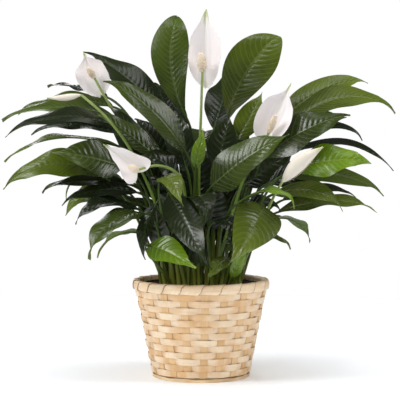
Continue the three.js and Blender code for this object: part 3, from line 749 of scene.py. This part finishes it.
# more leaves, told in the same way, that stand for none of the frame's and keep inside its box
FILLERS = [
    # left side
    ("left_l", (-34, 8), (-66, 6, 322), (-104, 2, 372), (-142, 8, 417), 40, (0.1, -0.7, 0.7), "dark"),
    ("left_v", (-20, 16), (-44, 24, 316), (-76, 34, 366), (-104, 44, 400), 50, (0.1, -0.8, 0.6), "dark"),
    ("left_w", (-30, -12), (-52, -10, 286), (-84, -8, 318), (-122, -4, 336), 46, (0.1, -0.8, 0.6), "dark"),
    ("left_m", (-48, 26), (-128, 36, 372), (-200, 52, 388), (-272, 66, 376), 42, (0, -0.5, 1), "dark"),
    ("left_n", (-52, 18), (-132, 30, 292), (-195, 38, 302), (-252, 45, 284), 38, (0, -0.4, 1), "dark"),
    ("left_o", (-46, 42), (-140, 66, 330), (-186, 88, 322), (-226, 104, 266), 40, (0, -0.4, 1), "green"),
    ("left_p", (-52, 2), (-82, 26, 214), (-126, 42, 216), (-170, 58, 182), 34, (0, 0.2, 1), "olive"),
    ("left_s", (-50, -10), (-110, -8, 294), (-178, -12, 300), (-243, -14, 287), 34, (0, -0.6, 1), "dark"),
    ("left_t", (-48, -18), (-96, -26, 282), (-156, -34, 286), (-212, -40, 266), 40, (0, -0.7, 1), "dark"),
    ("left_u", (-50, 12), (-88, 18, 260), (-146, 26, 268), (-196, 32, 250), 36, (0, -0.7, 1), "green"),
    ("left_q", (-44, -36), (-66, -50, 268), (-84, -60, 228), (-86, -64, 182),
     30, (-0.6, -0.7, 0.3), "dark"),
    ("left_r", (-30, 40), (-74, 66, 300), (-110, 84, 352), (-150, 96, 392), 48, (0.1, -0.7, 0.7), "dark"),
    # middle, in the near-black 'dark' look: painted shade inside the plant
    ("inner_a", (-10, -44), (-14, -58, 268), (2, -96, 276), (8, -128, 236), 44, (0, -0.7, 0.7), "dark"),
    ("inner_b", (-26, -30), (-34, -40, 300), (-58, -56, 330), (-92, -66, 338), 40, (0, -0.8, 0.6), "dark"),
    ("inner_c", (16, -20), (20, -26, 282), (48, -42, 312), (84, -50, 322), 44, (-0.1, -0.8, 0.6), "dark"),
    ("inner_d", (-16, 6), (-22, 4, 318), (-36, 8, 372), (-42, 20, 416), 44, (-0.2, -1, 0.3), "dark"),
    ("inner_e", (18, 4), (26, 0, 318), (34, 6, 362), (46, 14, 404), 46, (0.1, -1, 0.3), "dark"),
    ("inner_f", (-34, 44), (-58, 62, 262), (-84, 76, 300), (-114, 84, 322), 50, (0, -0.7, 0.7), "dark"),
    ("inner_g", (28, 34), (44, 48, 268), (74, 60, 306), (108, 68, 326), 50, (0, -0.7, 0.7), "dark"),
    ("inner_h", (-4, 22), (-6, 26, 270), (-4, 34, 318), (2, 44, 362), 56, (0, -1, 0.3), "dark"),
    ("inner_i", (36, -8), (56, -18, 246), (86, -34, 266), (122, -48, 262), 36, (0, -0.7, 0.8), "dark"),
    ("inner_j", (10, 52), (26, 66, 300), (52, 84, 352), (82, 96, 396), 52, (0.1, -0.8, 0.6), "dark"),
    # right side
    ("right_i", (40, 20), (134, 28, 372), (202, 38, 386), (258, 44, 366), 38, (0, -0.5, 1), "dark"),
    ("right_j", (56, 2), (128, 44, 268), (196, 66, 284), (252, 76, 276), 38, (0, -0.5, 1), "dark"),
    ("right_m", (44, 8), (118, 10, 368), (172, 12, 388), (226, 14, 396), 58, (0, -0.9, 0.6), "olive"),
    ("right_n", (50, -4), (104, -8, 296), (162, -14, 312), (216, -20, 306), 44, (0.3, -1, 0.3), "dark"),
    ("right_o", (36, 2), (66, 2, 292), (106, 8, 322), (150, 12, 350), 52, (0.3, -1, 0.3), "dark"),
    ("right_k", (54, 14), (80, -4, 206), (112, -8, 214), (140, -4, 196), 26, (0, -0.4, 1), "olive"),
    ("right_l", (34, -56), (40, -88, 184), (26, -106, 179), (6, -112, 156), 25, (-0.1, -0.9, 0.6), "olive"),
    ("inner_k", (-24, -58), (-38, -70, 228), (-14, -100, 204), (14, -120, 172), 50, (0, -0.8, 0.5), "dark"),
    ("inner_l", (16, -60), (20, -84, 240), (44, -106, 238), (56, -112, 204), 30, (0.1, -0.8, 0.6), "dark"),
    ("young_middle", (-4, -30), (-8, -30, 318), (-3, -34, 348), (5, -38, 378), 22, (0.2, -1, 0), "fresh"),
    ("young_right", (40, -58), (46, -62, 152), (56, -72, 180), (70, -80, 208), 19, (0.3, -1, 0), "fresh"),
    ("inner_m", (-58, 8), (-60, -6, 236), (-50, -30, 264), (-36, -48, 270), 42, (-0.2, -1, 0.3), "dark"),
    ("inner_n", (8, -10), (12, -10, 222), (20, -20, 262), (26, -30, 296), 46, (0, -1, 0.2), "dark"),
    # a low fan behind the stalks, in the near-black 'dark' look: painted shade that darkens the plant's
    # middle
    ("core_a", (-30, 20), (-48, 30, 196), (-74, 42, 244), (-104, 50, 276), 52, (0.2, -1, 0.2), "dark"),
    ("core_b", (-20, 26), (-34, 36, 202), (-48, 48, 262), (-60, 56, 312), 54, (0.1, -1, 0.1), "dark"),
    ("core_c", (-8, 30), (-10, 40, 200), (-14, 52, 262), (-16, 58, 316), 56, (0, -1, 0.1), "dark"),
    ("core_d", (8, 30), (14, 40, 200), (22, 52, 260), (26, 58, 312), 56, (0, -1, 0.1), "dark"),
    ("core_e", (20, 26), (34, 36, 200), (54, 48, 256), (68, 56, 302), 54, (-0.1, -1, 0.1), "dark"),
    ("core_f", (30, 20), (50, 30, 196), (78, 42, 240), (108, 50, 272), 52, (-0.2, -1, 0.2), "dark"),
    ("core_g", (-48, -30), (-58, -40, 190), (-64, -52, 232), (-66, -60, 262), 34, (-0.4, -1, 0.1), "dark"),
    ("core_h", (30, -50), (40, -62, 196), (44, -80, 214), (34, -98, 208), 32, (0.2, -1, 0.4), "dark"),
    # round the back and low down
    ("back_i", (-40, 50), (-72, 84, 226), (-116, 122, 236), (-160, 152, 202), 44, (0, 0, 1), "green"),
    ("back_j", (0, 62), (-4, 92, 214), (-2, 138, 214), (6, 176, 176), 42, (0, 0, 1), "dark"),
    ("back_k", (44, 22), (98, 60, 372), (150, 96, 402), (196, 128, 396), 50, (0, 0.1, 1), "dark"),
]


def bezier_place(points, share):
    """The place and the direction on a Bezier curve through its control points."""
    points = list(points)
    while len(points) > 2:
        points = [a.lerp(b, share) for a, b in zip(points, points[1:])]
    return points[0].lerp(points[1], share), (points[1] - points[0]).normalized()


def rib_through(low, middle, high):
    """Control points of the curve from low to high that passes through the middle."""
    return low, middle * 2 - (low + high) / 2, high


def thin_sheet(rows, columns, spot, thickness):
    """A closed thin sheet: an upper and a lower skin that share their margin."""
    sheet = {"verts": [], "notes": [], "faces": [], "under": []}
    upper = {}
    lower = {}
    for i in range(rows + 1):
        for j in range(columns + 1):
            step = 2 * j / columns - 1
            across = step * (0.75 + 0.25 * step * step)  # closer together near the midrib
            place, up, note = spot(across, i / rows)
            upper[i, j] = lower[i, j] = len(sheet["verts"])
            sheet["verts"].append(place)
            sheet["notes"].append(note)
            if 0 < i < rows and 0 < j < columns:
                lower[i, j] = len(sheet["verts"])
                sheet["verts"].append(place - up * thickness)
                sheet["notes"].append(note)
    for i in range(rows):
        for j in range(columns):
            corners = ((i, j), (i, j + 1), (i + 1, j + 1), (i + 1, j))
            sheet["faces"].append([upper[c] for c in corners])
            sheet["faces"].append([lower[c] for c in reversed(corners)])
            sheet["under"] += [0, 1]
    return sheet


NO_SHEET = {"verts": [], "notes": [], "faces": [], "under": []}


def plant_mesh(name, sheet, path, luck, veins=0):
    """A mesh of a sheet and, as loose edges, the middle of the stalk that carries it."""
    first = len(sheet["verts"])
    count = first + len(path)
    edges = [(k, k + 1) for k in range(first, count - 1)]
    mesh = bpy.data.meshes.new(name)
    mesh.from_pydata(sheet["verts"] + [place for place, _, _ in path], edges, sheet["faces"])
    mesh.polygons.foreach_set("material_index", sheet["under"])
    blade = [value for note in sheet["notes"] for value in note] + [0.0] * (3 * len(path))
    mesh.attributes.new("blade", "FLOAT_VECTOR", "POINT").data.foreach_set("vector", blade)
    floats = {
        "stalk": [0.0] * first + [1.0] * len(path),
        "thick": [0.0] * first + [thick for _, thick, _ in path],
        "upward": [0.0] * first + [share for _, _, share in path],
        "luck": [luck] * count,
        "veins": [veins] * count}
    for label, values in floats.items():
        mesh.attributes.new(label, "FLOAT", "POINT").data.foreach_set("value", values)
    if sheet["faces"]:
        mesh.shade_smooth()
        mesh.set_sharp_from_angle(angle=math.radians(60))
    return mesh


def joined(tree, *pieces):
    whole = tree.nodes.new("GeometryNodeJoinGeometry")
    for piece in pieces:
        tree.links.new(piece, whole.inputs[0])
    return whole.outputs[0]


def stalk_tree():
    """A round stalk along the mesh's loose edges, as thick as each point says, beside the blade."""
    tree, size = geometry_tree("stalk along its path", Steps=48, Sides=8, Material=None)
    chosen = carried(tree, "stalk").maths("GREATER_THAN", 0.5)
    middle = add_node(tree, "GeometryNodeMeshToCurve", {0: size["Geometry"], "Selection": chosen})
    curved = add_node(tree, "GeometryNodeCurveSplineType", {0: middle.outputs[0]},
                      spline_type="CATMULL_ROM")
    spaced = add_node(tree, "GeometryNodeResampleCurve", {
        "Curve": curved.outputs[0], "Count": size["Steps"]})
    section = add_node(tree, "GeometryNodeCurvePrimitiveCircle", {
        "Resolution": size["Sides"], "Radius": 1.0})
    tube = add_node(tree, "GeometryNodeCurveToMesh", {
        "Curve": spaced.outputs[0], "Profile Curve": section.outputs[0],
        "Scale": carried(tree, "thick"), "Fill Caps": True})
    smooth = add_node(tree, "GeometryNodeSetShadeSmooth", {0: tube.outputs[0]})
    blade = add_node(tree, "GeometryNodeSeparateGeometry", {0: size["Geometry"], "Selection": chosen})
    whole = joined(tree, blade.outputs[1], smooth.outputs[0])
    return finish_tree(tree, whole, size["Material"], chosen)


along_path = stalk_tree()


def leaf_path(foot, rib, spine):
    """The stalk's middle, its radius and how far up it is: from below the soil to the blade's tip."""
    ground = Vector((*foot, soil_height(*foot))) * MM
    reach = (rib[0] - ground).length
    away = bezier_place(rib, 0)[1]
    rise = (rib[0] - ground) * Vector((LEAN, LEAN, 1))
    handles = (ground, ground + rise.normalized() * 0.4 * reach, rib[0] - away * 0.3 * reach, rib[0])
    path = [(ground - Vector((0, 0, PLANTED * MM)), 3.2 * MM, 0.0)]
    for k in range(STALK_STEPS):
        share = k / STALK_STEPS
        knee = math.exp(-((share - 0.94) / 0.035) ** 2)
        radius = 1.75 + 1.35 * (1 - share) ** 1.8 + 0.5 * knee
        path.append((bezier_place(handles, share)[0], radius * MM, share))
    for k in range(MIDRIB_STEPS + 1):
        share = k / MIDRIB_STEPS
        radius = (0.2 + 1.5 * (1 - share) ** 1.2) * MM
        below = (radius * 0.9 + 0.6 * MM) * min(1, share * 8)
        place, _, up = spine(share * 0.97)
        path.append((place - up * below, radius, 1.0))
    return path


def leaf_outline(along, blunt):
    """Half the blade's width over its widest, from its base (0) to its tip (1)."""
    if blunt:
        return math.sin(math.pi * along ** 1.4) ** 0.65
    return math.sin(math.pi * along ** 0.72) ** 1.1


def rib_at(rib, sideways, along):
    """The place on a rib, the way it runs, and the ways across the blade and out of its face."""
    place, forward = bezier_place(rib, along)
    side = (sideways - forward * sideways.dot(forward)).normalized()
    return place, forward, side, side.cross(forward)


def leaf_mesh(name, foot, base, middle, tip, width, face):
    """A blade on its rib, drawn at random from its own name, with the path of its stalk."""
    rng = random.Random(name)
    blunt = name in BLUNT
    base, middle, tip = (Vector(place) * MM for place in (base, middle, tip))
    rib = rib_through(base, middle, tip)
    half_width = width * MM / 2
    length = (middle - base).length + (tip - middle).length
    veins = round(length / VEIN_SPACING)
    sideways = (tip - base).cross(Vector(face)).normalized()
    twist = rng.uniform(-0.3, 0.3)
    ripple = rng.uniform(*RIPPLE) * width * MM
    waves = rng.uniform(1.3, 2.6)
    phases = (rng.uniform(0, TURN), rng.uniform(0, TURN))
    curl = rng.uniform(0.1, 1.0) * TIP_CURL
    hook = rng.uniform(-1, 1) * TIP_HOOK
    luck = rng.random()

    def spine(along):
        place, forward, side, up = rib_at(rib, sideways, along)
        roll = twist * (along - 0.4)
        beyond = max(0.0, (along - 0.82) / 0.18) ** 2
        place = place - up * (curl * beyond) + side * (hook * beyond)
        rolled_side = side * math.cos(roll) + up * math.sin(roll)
        return place, rolled_side, up * math.cos(roll) - side * math.sin(roll)

    def spot(across, along):
        place, side, up = spine(along)
        drawn = 1 if blunt else 1 - 0.55 * max(0.0, (along - 0.8) / 0.2) ** 0.7
        half = max(0.5 * MM, half_width * leaf_outline(along, blunt) * drawn)
        out = abs(across)
        vein = math.cos(TURN * veins * (along - VEIN_SWEEP * out ** 1.4))
        uneven = 0.55 + noise.noise(Vector((across * 2.2, along * 5, luck * 90)))
        pucker = PUCKER * uneven * vein * min(1, out * 5) * (1 - out ** 4) * min(1, half / (9 * MM))
        wave = ripple * out * out * math.sin(TURN * waves * along + phases[across < 0]) * min(1, along * 4)
        groove = -GROOVE * math.exp(-(out * half / (1.3 * MM)) ** 2)
        lift = half * (FOLD * out - 0.12 * out * out) + pucker + wave + groove
        return place + side * (across * half) + up * lift, up, (out, along, out * half / MM)

    sheet = thin_sheet(*BLADE_CUTS, spot, BLADE_THICKNESS)
    return plant_mesh(name, sheet, leaf_path(foot, rib, spine), luck, veins)


def make_leaf_markings():
    """The veins and the midrib as masks, a cloudy tone that is darker towards the base as painted shade,
    and fine relief, for every blade.
    """
    group, given = look_group(
        "leaf markings", {"Blade": "Vector", "Luck": "Float", "Veins": "Float"},
        ("Veins", "Midrib", "Cloud", "Relief"))
    out, along, away = parts_of(group, given["Blade"])
    count = Number(group, given["Veins"])
    phase = (along - VEIN_SWEEP * out ** 1.4) * count * TURN
    main = (phase.cos() * -0.5 + 0.5) ** 14.0
    minor = ((phase * 4).cos() * -0.5 + 0.5) ** 4.0
    veins = (main + minor * 0.35).within()
    midrib = (1.6 - away).within()
    place = object_place(group)
    patches = noise_in(group, place, 26.0, 3.0) * 0.5
    # (along - 0.4) * 0.5 is painted shade: each blade a deeper green towards its base, inside the plant,
    # and lighter towards its tip
    cloud = patches + Number(group, given["Luck"]) * 0.3 + (along - 0.4) * 0.5
    speckle = noise_in(group, place, 700.0, 2.0)
    relief = speckle * 0.12 - veins * 0.8 - midrib
    add_node(group, "NodeGroupOutput", enumerate((veins, midrib, cloud, relief)))
    return group


leaf_markings = make_leaf_markings()


def leaf_look(name, deep, light, vein, roughness, gloss):
    """A leaf's skin, whose tone runs between two greens, deeper towards the base as painted shade, and
    whose veins are paler.
    """
    material, tree, shader = new_material(name, Specular_IOR_Level=gloss)
    marks = add_node(tree, "ShaderNodeGroup", {
        "Blade": mesh_value(tree, "blade", "Vector"), "Luck": mesh_value(tree, "luck"),
        "Veins": mesh_value(tree, "veins")}, node_tree=leaf_markings)
    veins, midrib, cloud, relief = (Number(tree, socket) for socket in marks.outputs)
    colour = mix(tree, ((cloud - 0.3) * 2.2).within(), deep, light)
    colour = mix(tree, veins * 0.32, colour, vein)
    colour = mix(tree, midrib * 0.45, colour, vein)
    surface(tree, shader, colour, relief, 0.25, 0.4 * MM, cloud * 0.12 + (roughness - 0.05))
    return material


# the two greens that a leaf's upper side runs between, and its veins
LEAF_LOOKS = {
    # 'dark' deepens a leaf's own dark green to near black: painted shade for the leaves that lie in the
    # plant's shade
    "dark": ((0.003, 0.006, 0.001), (0.012, 0.019, 0.002), (0.04, 0.06, 0.02)),
    "green": ((0.013, 0.022, 0.001), (0.056, 0.088, 0.004), (0.12, 0.16, 0.05)),
    "olive": ((0.034, 0.050, 0.003), (0.104, 0.150, 0.006), (0.17, 0.21, 0.06)),
    "fresh": ((0.060, 0.120, 0.003), (0.155, 0.270, 0.006), (0.26, 0.36, 0.05)),
}


def bleached(colour, extra):
    """An upper side's green as the underside shows it."""
    return tuple(0.8 * value + more for value, more in zip(colour, extra))


leaf_skins = {}
for look, (deep, light, vein) in LEAF_LOOKS.items():
    pale_deep = bleached(deep, (0.035, 0.055, 0.014))
    pale_light = bleached(light, (0.055, 0.085, 0.022))
    leaf_skins[look] = (
        leaf_look("leaf " + look, deep, light, vein, 0.28, 0.5),
        leaf_look("leaf underside " + look, pale_deep, pale_light, vein, 0.55, 0.3))


def stalk_look(name, low, middle, high):
    """Juicy green stalk: finely ribbed along, paler at the soil, its tone changing upwards."""
    material, tree, shader = new_material(name, Specular_IOR_Level=0.3)
    upward = Number(tree, mesh_value(tree, "upward"))
    luck = Number(tree, mesh_value(tree, "luck"))
    x, y, z = parts_of(tree, object_place(tree))
    ribs = noise_in(tree, vector_of(tree, x * 1200, y * 1200, z * 30), 1.0, 2.0)
    blotch = noise_in(tree, vector_of(tree, x * 60, y * 60, z * 25), 1.0, 3.0)
    colour = mix(tree, (upward * 2.2).within(), low, middle)
    colour = mix(tree, (upward * 2.5 - 1.5).within(), colour, high)
    shaded = ((blotch - 0.45) * 2.5).within() * 0.4 + ((0.75 - luck) * 3).within() * 0.6
    colour = mix(tree, shaded, colour, tuple(value * 0.4 for value in middle))
    surface(tree, shader, colour, ribs, 0.3, 0.3 * MM, ribs * 0.2 + 0.32)
    return material


leaf_stalk = stalk_look("leaf stalk", (0.25, 0.28, 0.04), (0.050, 0.085, 0.008), (0.035, 0.064, 0.008))


def grow_leaf(name, *shape, look):
    mesh = leaf_mesh(name, *shape)
    for skin in leaf_skins[look]:
        mesh.materials.append(skin)
    leaf = made_by(along_path, "grown_" + name, mesh, Material=leaf_stalk)
    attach(leaf, "root")
    return leaf


for *row, look in LEAVES:
    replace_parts(grow_leaf(*row, look=look), "leaf_" + row[0])
for *row, look in FILLERS:
    grow_leaf(*row, look=look)


# ---------------------------------------------------------------- flower stalks
# Each flower stands on its own round stalk, straighter and paler than a leaf's, which thins upwards
# and is a paler green just under the flower.
# foot in the soil, and the places that the stalk passes, up to the flower
STALKS = {
    "top": ((0, -6), [(-3, -22, 300), (0, -23, 400), (2, -26, 466)]),
    "upper_left": ((-26, 14), [(-88, 20, 330), (-141, 16, 416), (-165, 14, 459)]),
    "lower_left": ((-20, -46), [(-24, -58, 280), (-36, -78, 312), (-63, -92, 323), (-92, -116, 317)]),
    "right": ((24, -34), [(62, -64, 300), (90, -68, 350), (100, -70, 372)]),
    "right_bud": ((60, -34), [(90, -58, 236), (106, -76, 274), (117, -120, 300)]),
    "left_bud": ((-38, -22), [(-70, -46, 270), (-104, -62, 345), (-140, -64, 394), (-178, -60, 428)]),
}
STALK_RADIUS = 2.3 * MM
UPRIGHT = 24  # millimetres that a stalk stands straight up from the soil
flower_stalk = stalk_look("flower stalk", (0.20, 0.25, 0.06), (0.12, 0.19, 0.025), (0.32, 0.40, 0.14))
for name, (foot, through) in STALKS.items():
    ground = Vector((*foot, soil_height(*foot)))
    places = [ground + Vector((0, 0, rise)) for rise in (-PLANTED, 0, UPRIGHT)]
    places += [Vector(place) for place in through]
    path = []
    for k, place in enumerate(places):
        share = k / (len(places) - 1)
        path.append((place * MM, STALK_RADIUS * (1.15 - 0.35 * share), share))
    mesh = plant_mesh(name, NO_SHEET, path, 0.8)
    stalk = made_by(along_path, "flower_stalk_" + name, mesh, Steps=64, Sides=10, Material=flower_stalk)
    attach(stalk, "root")
    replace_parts(stalk, "stalk_" + name)


# ---------------------------------------------------------------- spathes
# The white hood of each flower: one broad bract, cupped round the spadix, veined lengthwise, with a
# waved margin and a point that stays green.
# name, the bract's low end, middle and tip, width, the side it opens to, how far its two lobes hang
# below its low end, how high its widest place is, and how much its point is drawn out
SPATHES = [
    ("top", (9, -16, 442), (5, -14, 500), (8, -6, 562), 50, (0, -1, 0.1), 2, 0.8, 0.45),
    ("upper_left", (-155, 20, 433), (-170, 22, 468), (-183, 26, 500), 50, (-0.1, -1, 0.2), 4, 0.72, 0.75),
    ("lower_left", (-92, -108, 313), (-116, -112, 335), (-141, -119, 354), 46, (0, -1, 0.3), 7, 0.27, 0.5),
    ("right", (92, -62, 362), (114, -60, 404), (134, -58, 446), 52, (-0.1, -1, 0.2), 5, 0.62, 0.7),
]
SPATHE_CUP = 0.42
SPATHE_THICKNESS = 0.7 * MM


def spathe_outline(along, widest, drawn):
    """Half the bract's width over its widest: round and wide low down, with a drawn-out point."""
    point = 1 - drawn * min(1.0, max(0.0, (along - 0.62) / 0.22)) ** 1.3
    return math.sin(math.pi * along ** widest) ** 0.75 * point


def spathe_mesh(name, low, middle, tip, width, face, lobe, widest, drawn):
    """A cupped bract on its rib, its margin waved at random from its own name."""
    rng = random.Random(name)
    low, middle, tip = (Vector(place) * MM for place in (low, middle, tip))
    rib = rib_through(low, middle, tip)
    sideways = (tip - low).cross(Vector(face)).normalized()
    phases = (rng.uniform(0, TURN), rng.uniform(0, TURN))

    def spot(across, along):
        place, forward, side, up = rib_at(rib, sideways, along)
        half = max(0.6 * MM, width * MM / 2 * spathe_outline(max(0.01, along), widest, drawn))
        out = abs(across)
        wave = 1.2 * MM * out ** 3 * math.sin(TURN * 2.3 * along + phases[across < 0])
        uneven = 1 + 0.05 * out ** 2 * math.sin(TURN * 1.4 * along + phases[across > 0])
        fold = 0.35 * MM * math.cos(across * 21) * (1 - out) * math.sin(math.pi * along)
        crease = -0.8 * MM * math.exp(-(out * half / (1.6 * MM)) ** 2)
        lift = half * SPATHE_CUP * out ** 1.8 + wave + fold + crease
        back = lobe * MM * (1 - along) ** 3 * math.sin(0.75 * math.pi * out)
        place = place + side * (across * half * uneven) + up * lift - forward * back
        return place, up, (out, along, out * half / MM)

    return plant_mesh(name, thin_sheet(60, 26, spot, SPATHE_THICKNESS), [], 0.5)


def spathe_look(name, white, green):
    """A bract's skin: white, finely veined, greener along its rib, at its foot and at its point."""
    material, tree, shader = new_material(name, Roughness=0.45, Specular_IOR_Level=0.4)
    out, along, away = parts_of(tree, mesh_value(tree, "blade", "Vector"))
    vein = ((out * 34).cos() * 0.5 + 0.5) ** 6.0
    cloud = noise_in(tree, object_place(tree), 60.0, 3.0)
    tip = ((along - 0.8) * 6).within()
    foot = ((0.12 - along) * 8).within() * (1.0 - out * 1.6).within()
    rib = (1.0 - away * 0.5).within() * 0.2
    greened = (tip * 0.7 + foot * 0.4 + rib + vein * 0.05 + (cloud - 0.55) * 0.15).within()
    colour = mix(tree, greened, white, green)
    surface(tree, shader, colour, cloud * 0.5 - vein * 0.4, 0.3, 0.4 * MM)
    return material


spathe_skin = spathe_look("spathe", (0.84, 0.79, 0.79), (0.42, 0.50, 0.15))
for row in SPATHES:
    mesh = spathe_mesh(*row)
    mesh.materials.append(spathe_skin)
    bract = mesh_object("white_spathe_" + row[0], mesh)
    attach(bract, "root")
    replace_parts(bract, "spathe_" + row[0])


# ---------------------------------------------------------------- spadices
# The spike inside each hood: a fleshy cream core, closely set all round with tiny round florets in
# crossing spirals.
FLORETS = 190
FLORET_RADIUS = 0.95 * MM
GOLDEN_ANGLE = 2.39996


def spadix_tree():
    """A core and its florets, stood on its start and leaned along its reach."""
    tree, size = geometry_tree(
        "spadix", Florets=FLORETS, Start=Vector((0, 0, 0)), Reach=Vector((0, 0, 1)), Radius=4.6 * MM,
        Material=None)
    length = Number(tree, add_node(
        tree, "ShaderNodeVectorMath", {0: size["Reach"]}, operation="LENGTH").outputs["Value"])
    count = add_node(tree, "GeometryNodeMeshLine", {"Count": size["Florets"]})
    index = Number(tree, add_node(tree, "GeometryNodeInputIndex").outputs[0])
    share = (index + 0.5) / size["Florets"]
    girth = (0.25 + 0.75 * ((share * 0.86 + 0.12) * math.pi).sin()) * size["Radius"]
    angle = index * GOLDEN_ANGLE
    place = vector_of(tree, girth * angle.cos(), girth * angle.sin(), share * length)
    spots = add_node(tree, "GeometryNodeSetPosition", {"Geometry": count.outputs[0], "Position": place})
    floret = add_node(tree, "GeometryNodeMeshIcoSphere", {"Radius": FLORET_RADIUS, "Subdivisions": 1})
    uneven = add_node(tree, "FunctionNodeRandomValue", {2: 0.75, 3: 1.2, "Seed": 2}, data_type="FLOAT")
    florets = add_node(tree, "GeometryNodeInstanceOnPoints", {
        "Points": spots.outputs[0], "Instance": floret.outputs[0], "Scale": uneven.outputs[1]})
    ball = add_node(tree, "GeometryNodeMeshUVSphere", {"Segments": 20, "Rings": 14, "Radius": 1.0})
    core = add_node(tree, "GeometryNodeTransform", {
        "Geometry": ball.outputs[0], "Scale": vector_of(
            tree, size["Radius"] * 0.95, size["Radius"] * 0.95, length * 0.52),
        "Translation": vector_of(tree, 0.0, 0.0, length * 0.48)})
    both = joined(tree, core.outputs[0], florets.outputs[0])
    lean = add_node(tree, "FunctionNodeAlignRotationToVector", {"Vector": size["Reach"]}, axis="Z")
    stood = add_node(tree, "GeometryNodeTransform", {
        "Geometry": both, "Translation": size["Start"], "Rotation": lean.outputs[0]})
    smooth = add_node(tree, "GeometryNodeSetShadeSmooth", {0: stood.outputs[0]})
    return finish_tree(tree, smooth.outputs[0], size["Material"])


def spadix_look():
    """Cream florets, some riper than others, with tan specks."""
    material, tree, shader = new_material("spadix", Roughness=0.65, Specular_IOR_Level=0.3)
    place = object_place(tree)
    grain = noise_in(tree, place, 900.0, 2.0)
    ripe = ((noise_in(tree, place, 120.0, 2.0) - 0.4) * 3).within()
    colour = mix(tree, ripe, (0.84, 0.70, 0.53), (0.90, 0.84, 0.72))
    colour = mix(tree, ((grain - 0.5) * 3).within() * 0.3, colour, (0.66, 0.44, 0.28))
    surface(tree, shader, colour, grain, 0.4, 0.3 * MM)
    return material


# tip and radius
SPADICES = {
    "top": ((0, -37, 492), 7), "upper_left": ((-174, 3, 473), 4.8),
    "lower_left": ((-103, -134, 322), 4.8), "right": ((110, -78, 397), 4.8)}
spadix_skin = spadix_look()
spadix_shape = spadix_tree()
for name, (tip, radius) in SPADICES.items():
    low = Vector(STALKS[name][1][-1])
    spike = made_by(spadix_shape, "floret_spadix_" + name, Start=low * MM,
                    Reach=(Vector(tip) - low) * MM, Radius=radius * MM, Material=spadix_skin)
    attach(spike, "root")
    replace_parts(spike, "spadix_" + name)


# ---------------------------------------------------------------- buds
# Two flowers still shut: the bract is rolled round its spadix, one edge lapped over the other, pale
# green along its back and pointed at both ends.
# tip and greatest radius
BUDS = {"right_bud": ((174, -138, 350), 11), "left_bud": ((-230, -54, 424), 5)}
ROLL = 1.25  # turns of the bract round itself


def bud_mesh(name, low, tip, radius):
    """A bract rolled round the line from its low end to its tip."""
    forward = (tip - low).normalized()
    side = forward.cross(Vector((0.3, 1, 0))).normalized()
    other = forward.cross(side)

    def spot(across, along):
        half = radius * max(0.12, math.sin(math.pi * min(1, along * 0.97 + 0.02) ** 0.8))
        angle = -across * math.pi * ROLL + 1.1 * along + 0.6
        spiral = 1 + 0.09 * across
        out = side * math.cos(angle) + other * math.sin(angle)
        bow = side * (0.35 * radius * math.sin(math.pi * along))
        place = low.lerp(tip, along) + out * (half * spiral) + bow
        return place, out, (abs(across), along, 9.0)

    return plant_mesh(name, thin_sheet(54, 40, spot, 0.5 * MM), [], 0.5)


bud_skin = spathe_look("bud", (0.76, 0.70, 0.60), (0.42, 0.46, 0.18))
for name, (tip, radius) in BUDS.items():
    low = Vector(STALKS[name][1][-1])
    mesh = bud_mesh(name, low * MM, Vector(tip) * MM, radius * MM)
    mesh.materials.append(bud_skin)
    bud = mesh_object("rolled_" + name, mesh)
    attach(bud, "root")
    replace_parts(bud, "bud_" + name)
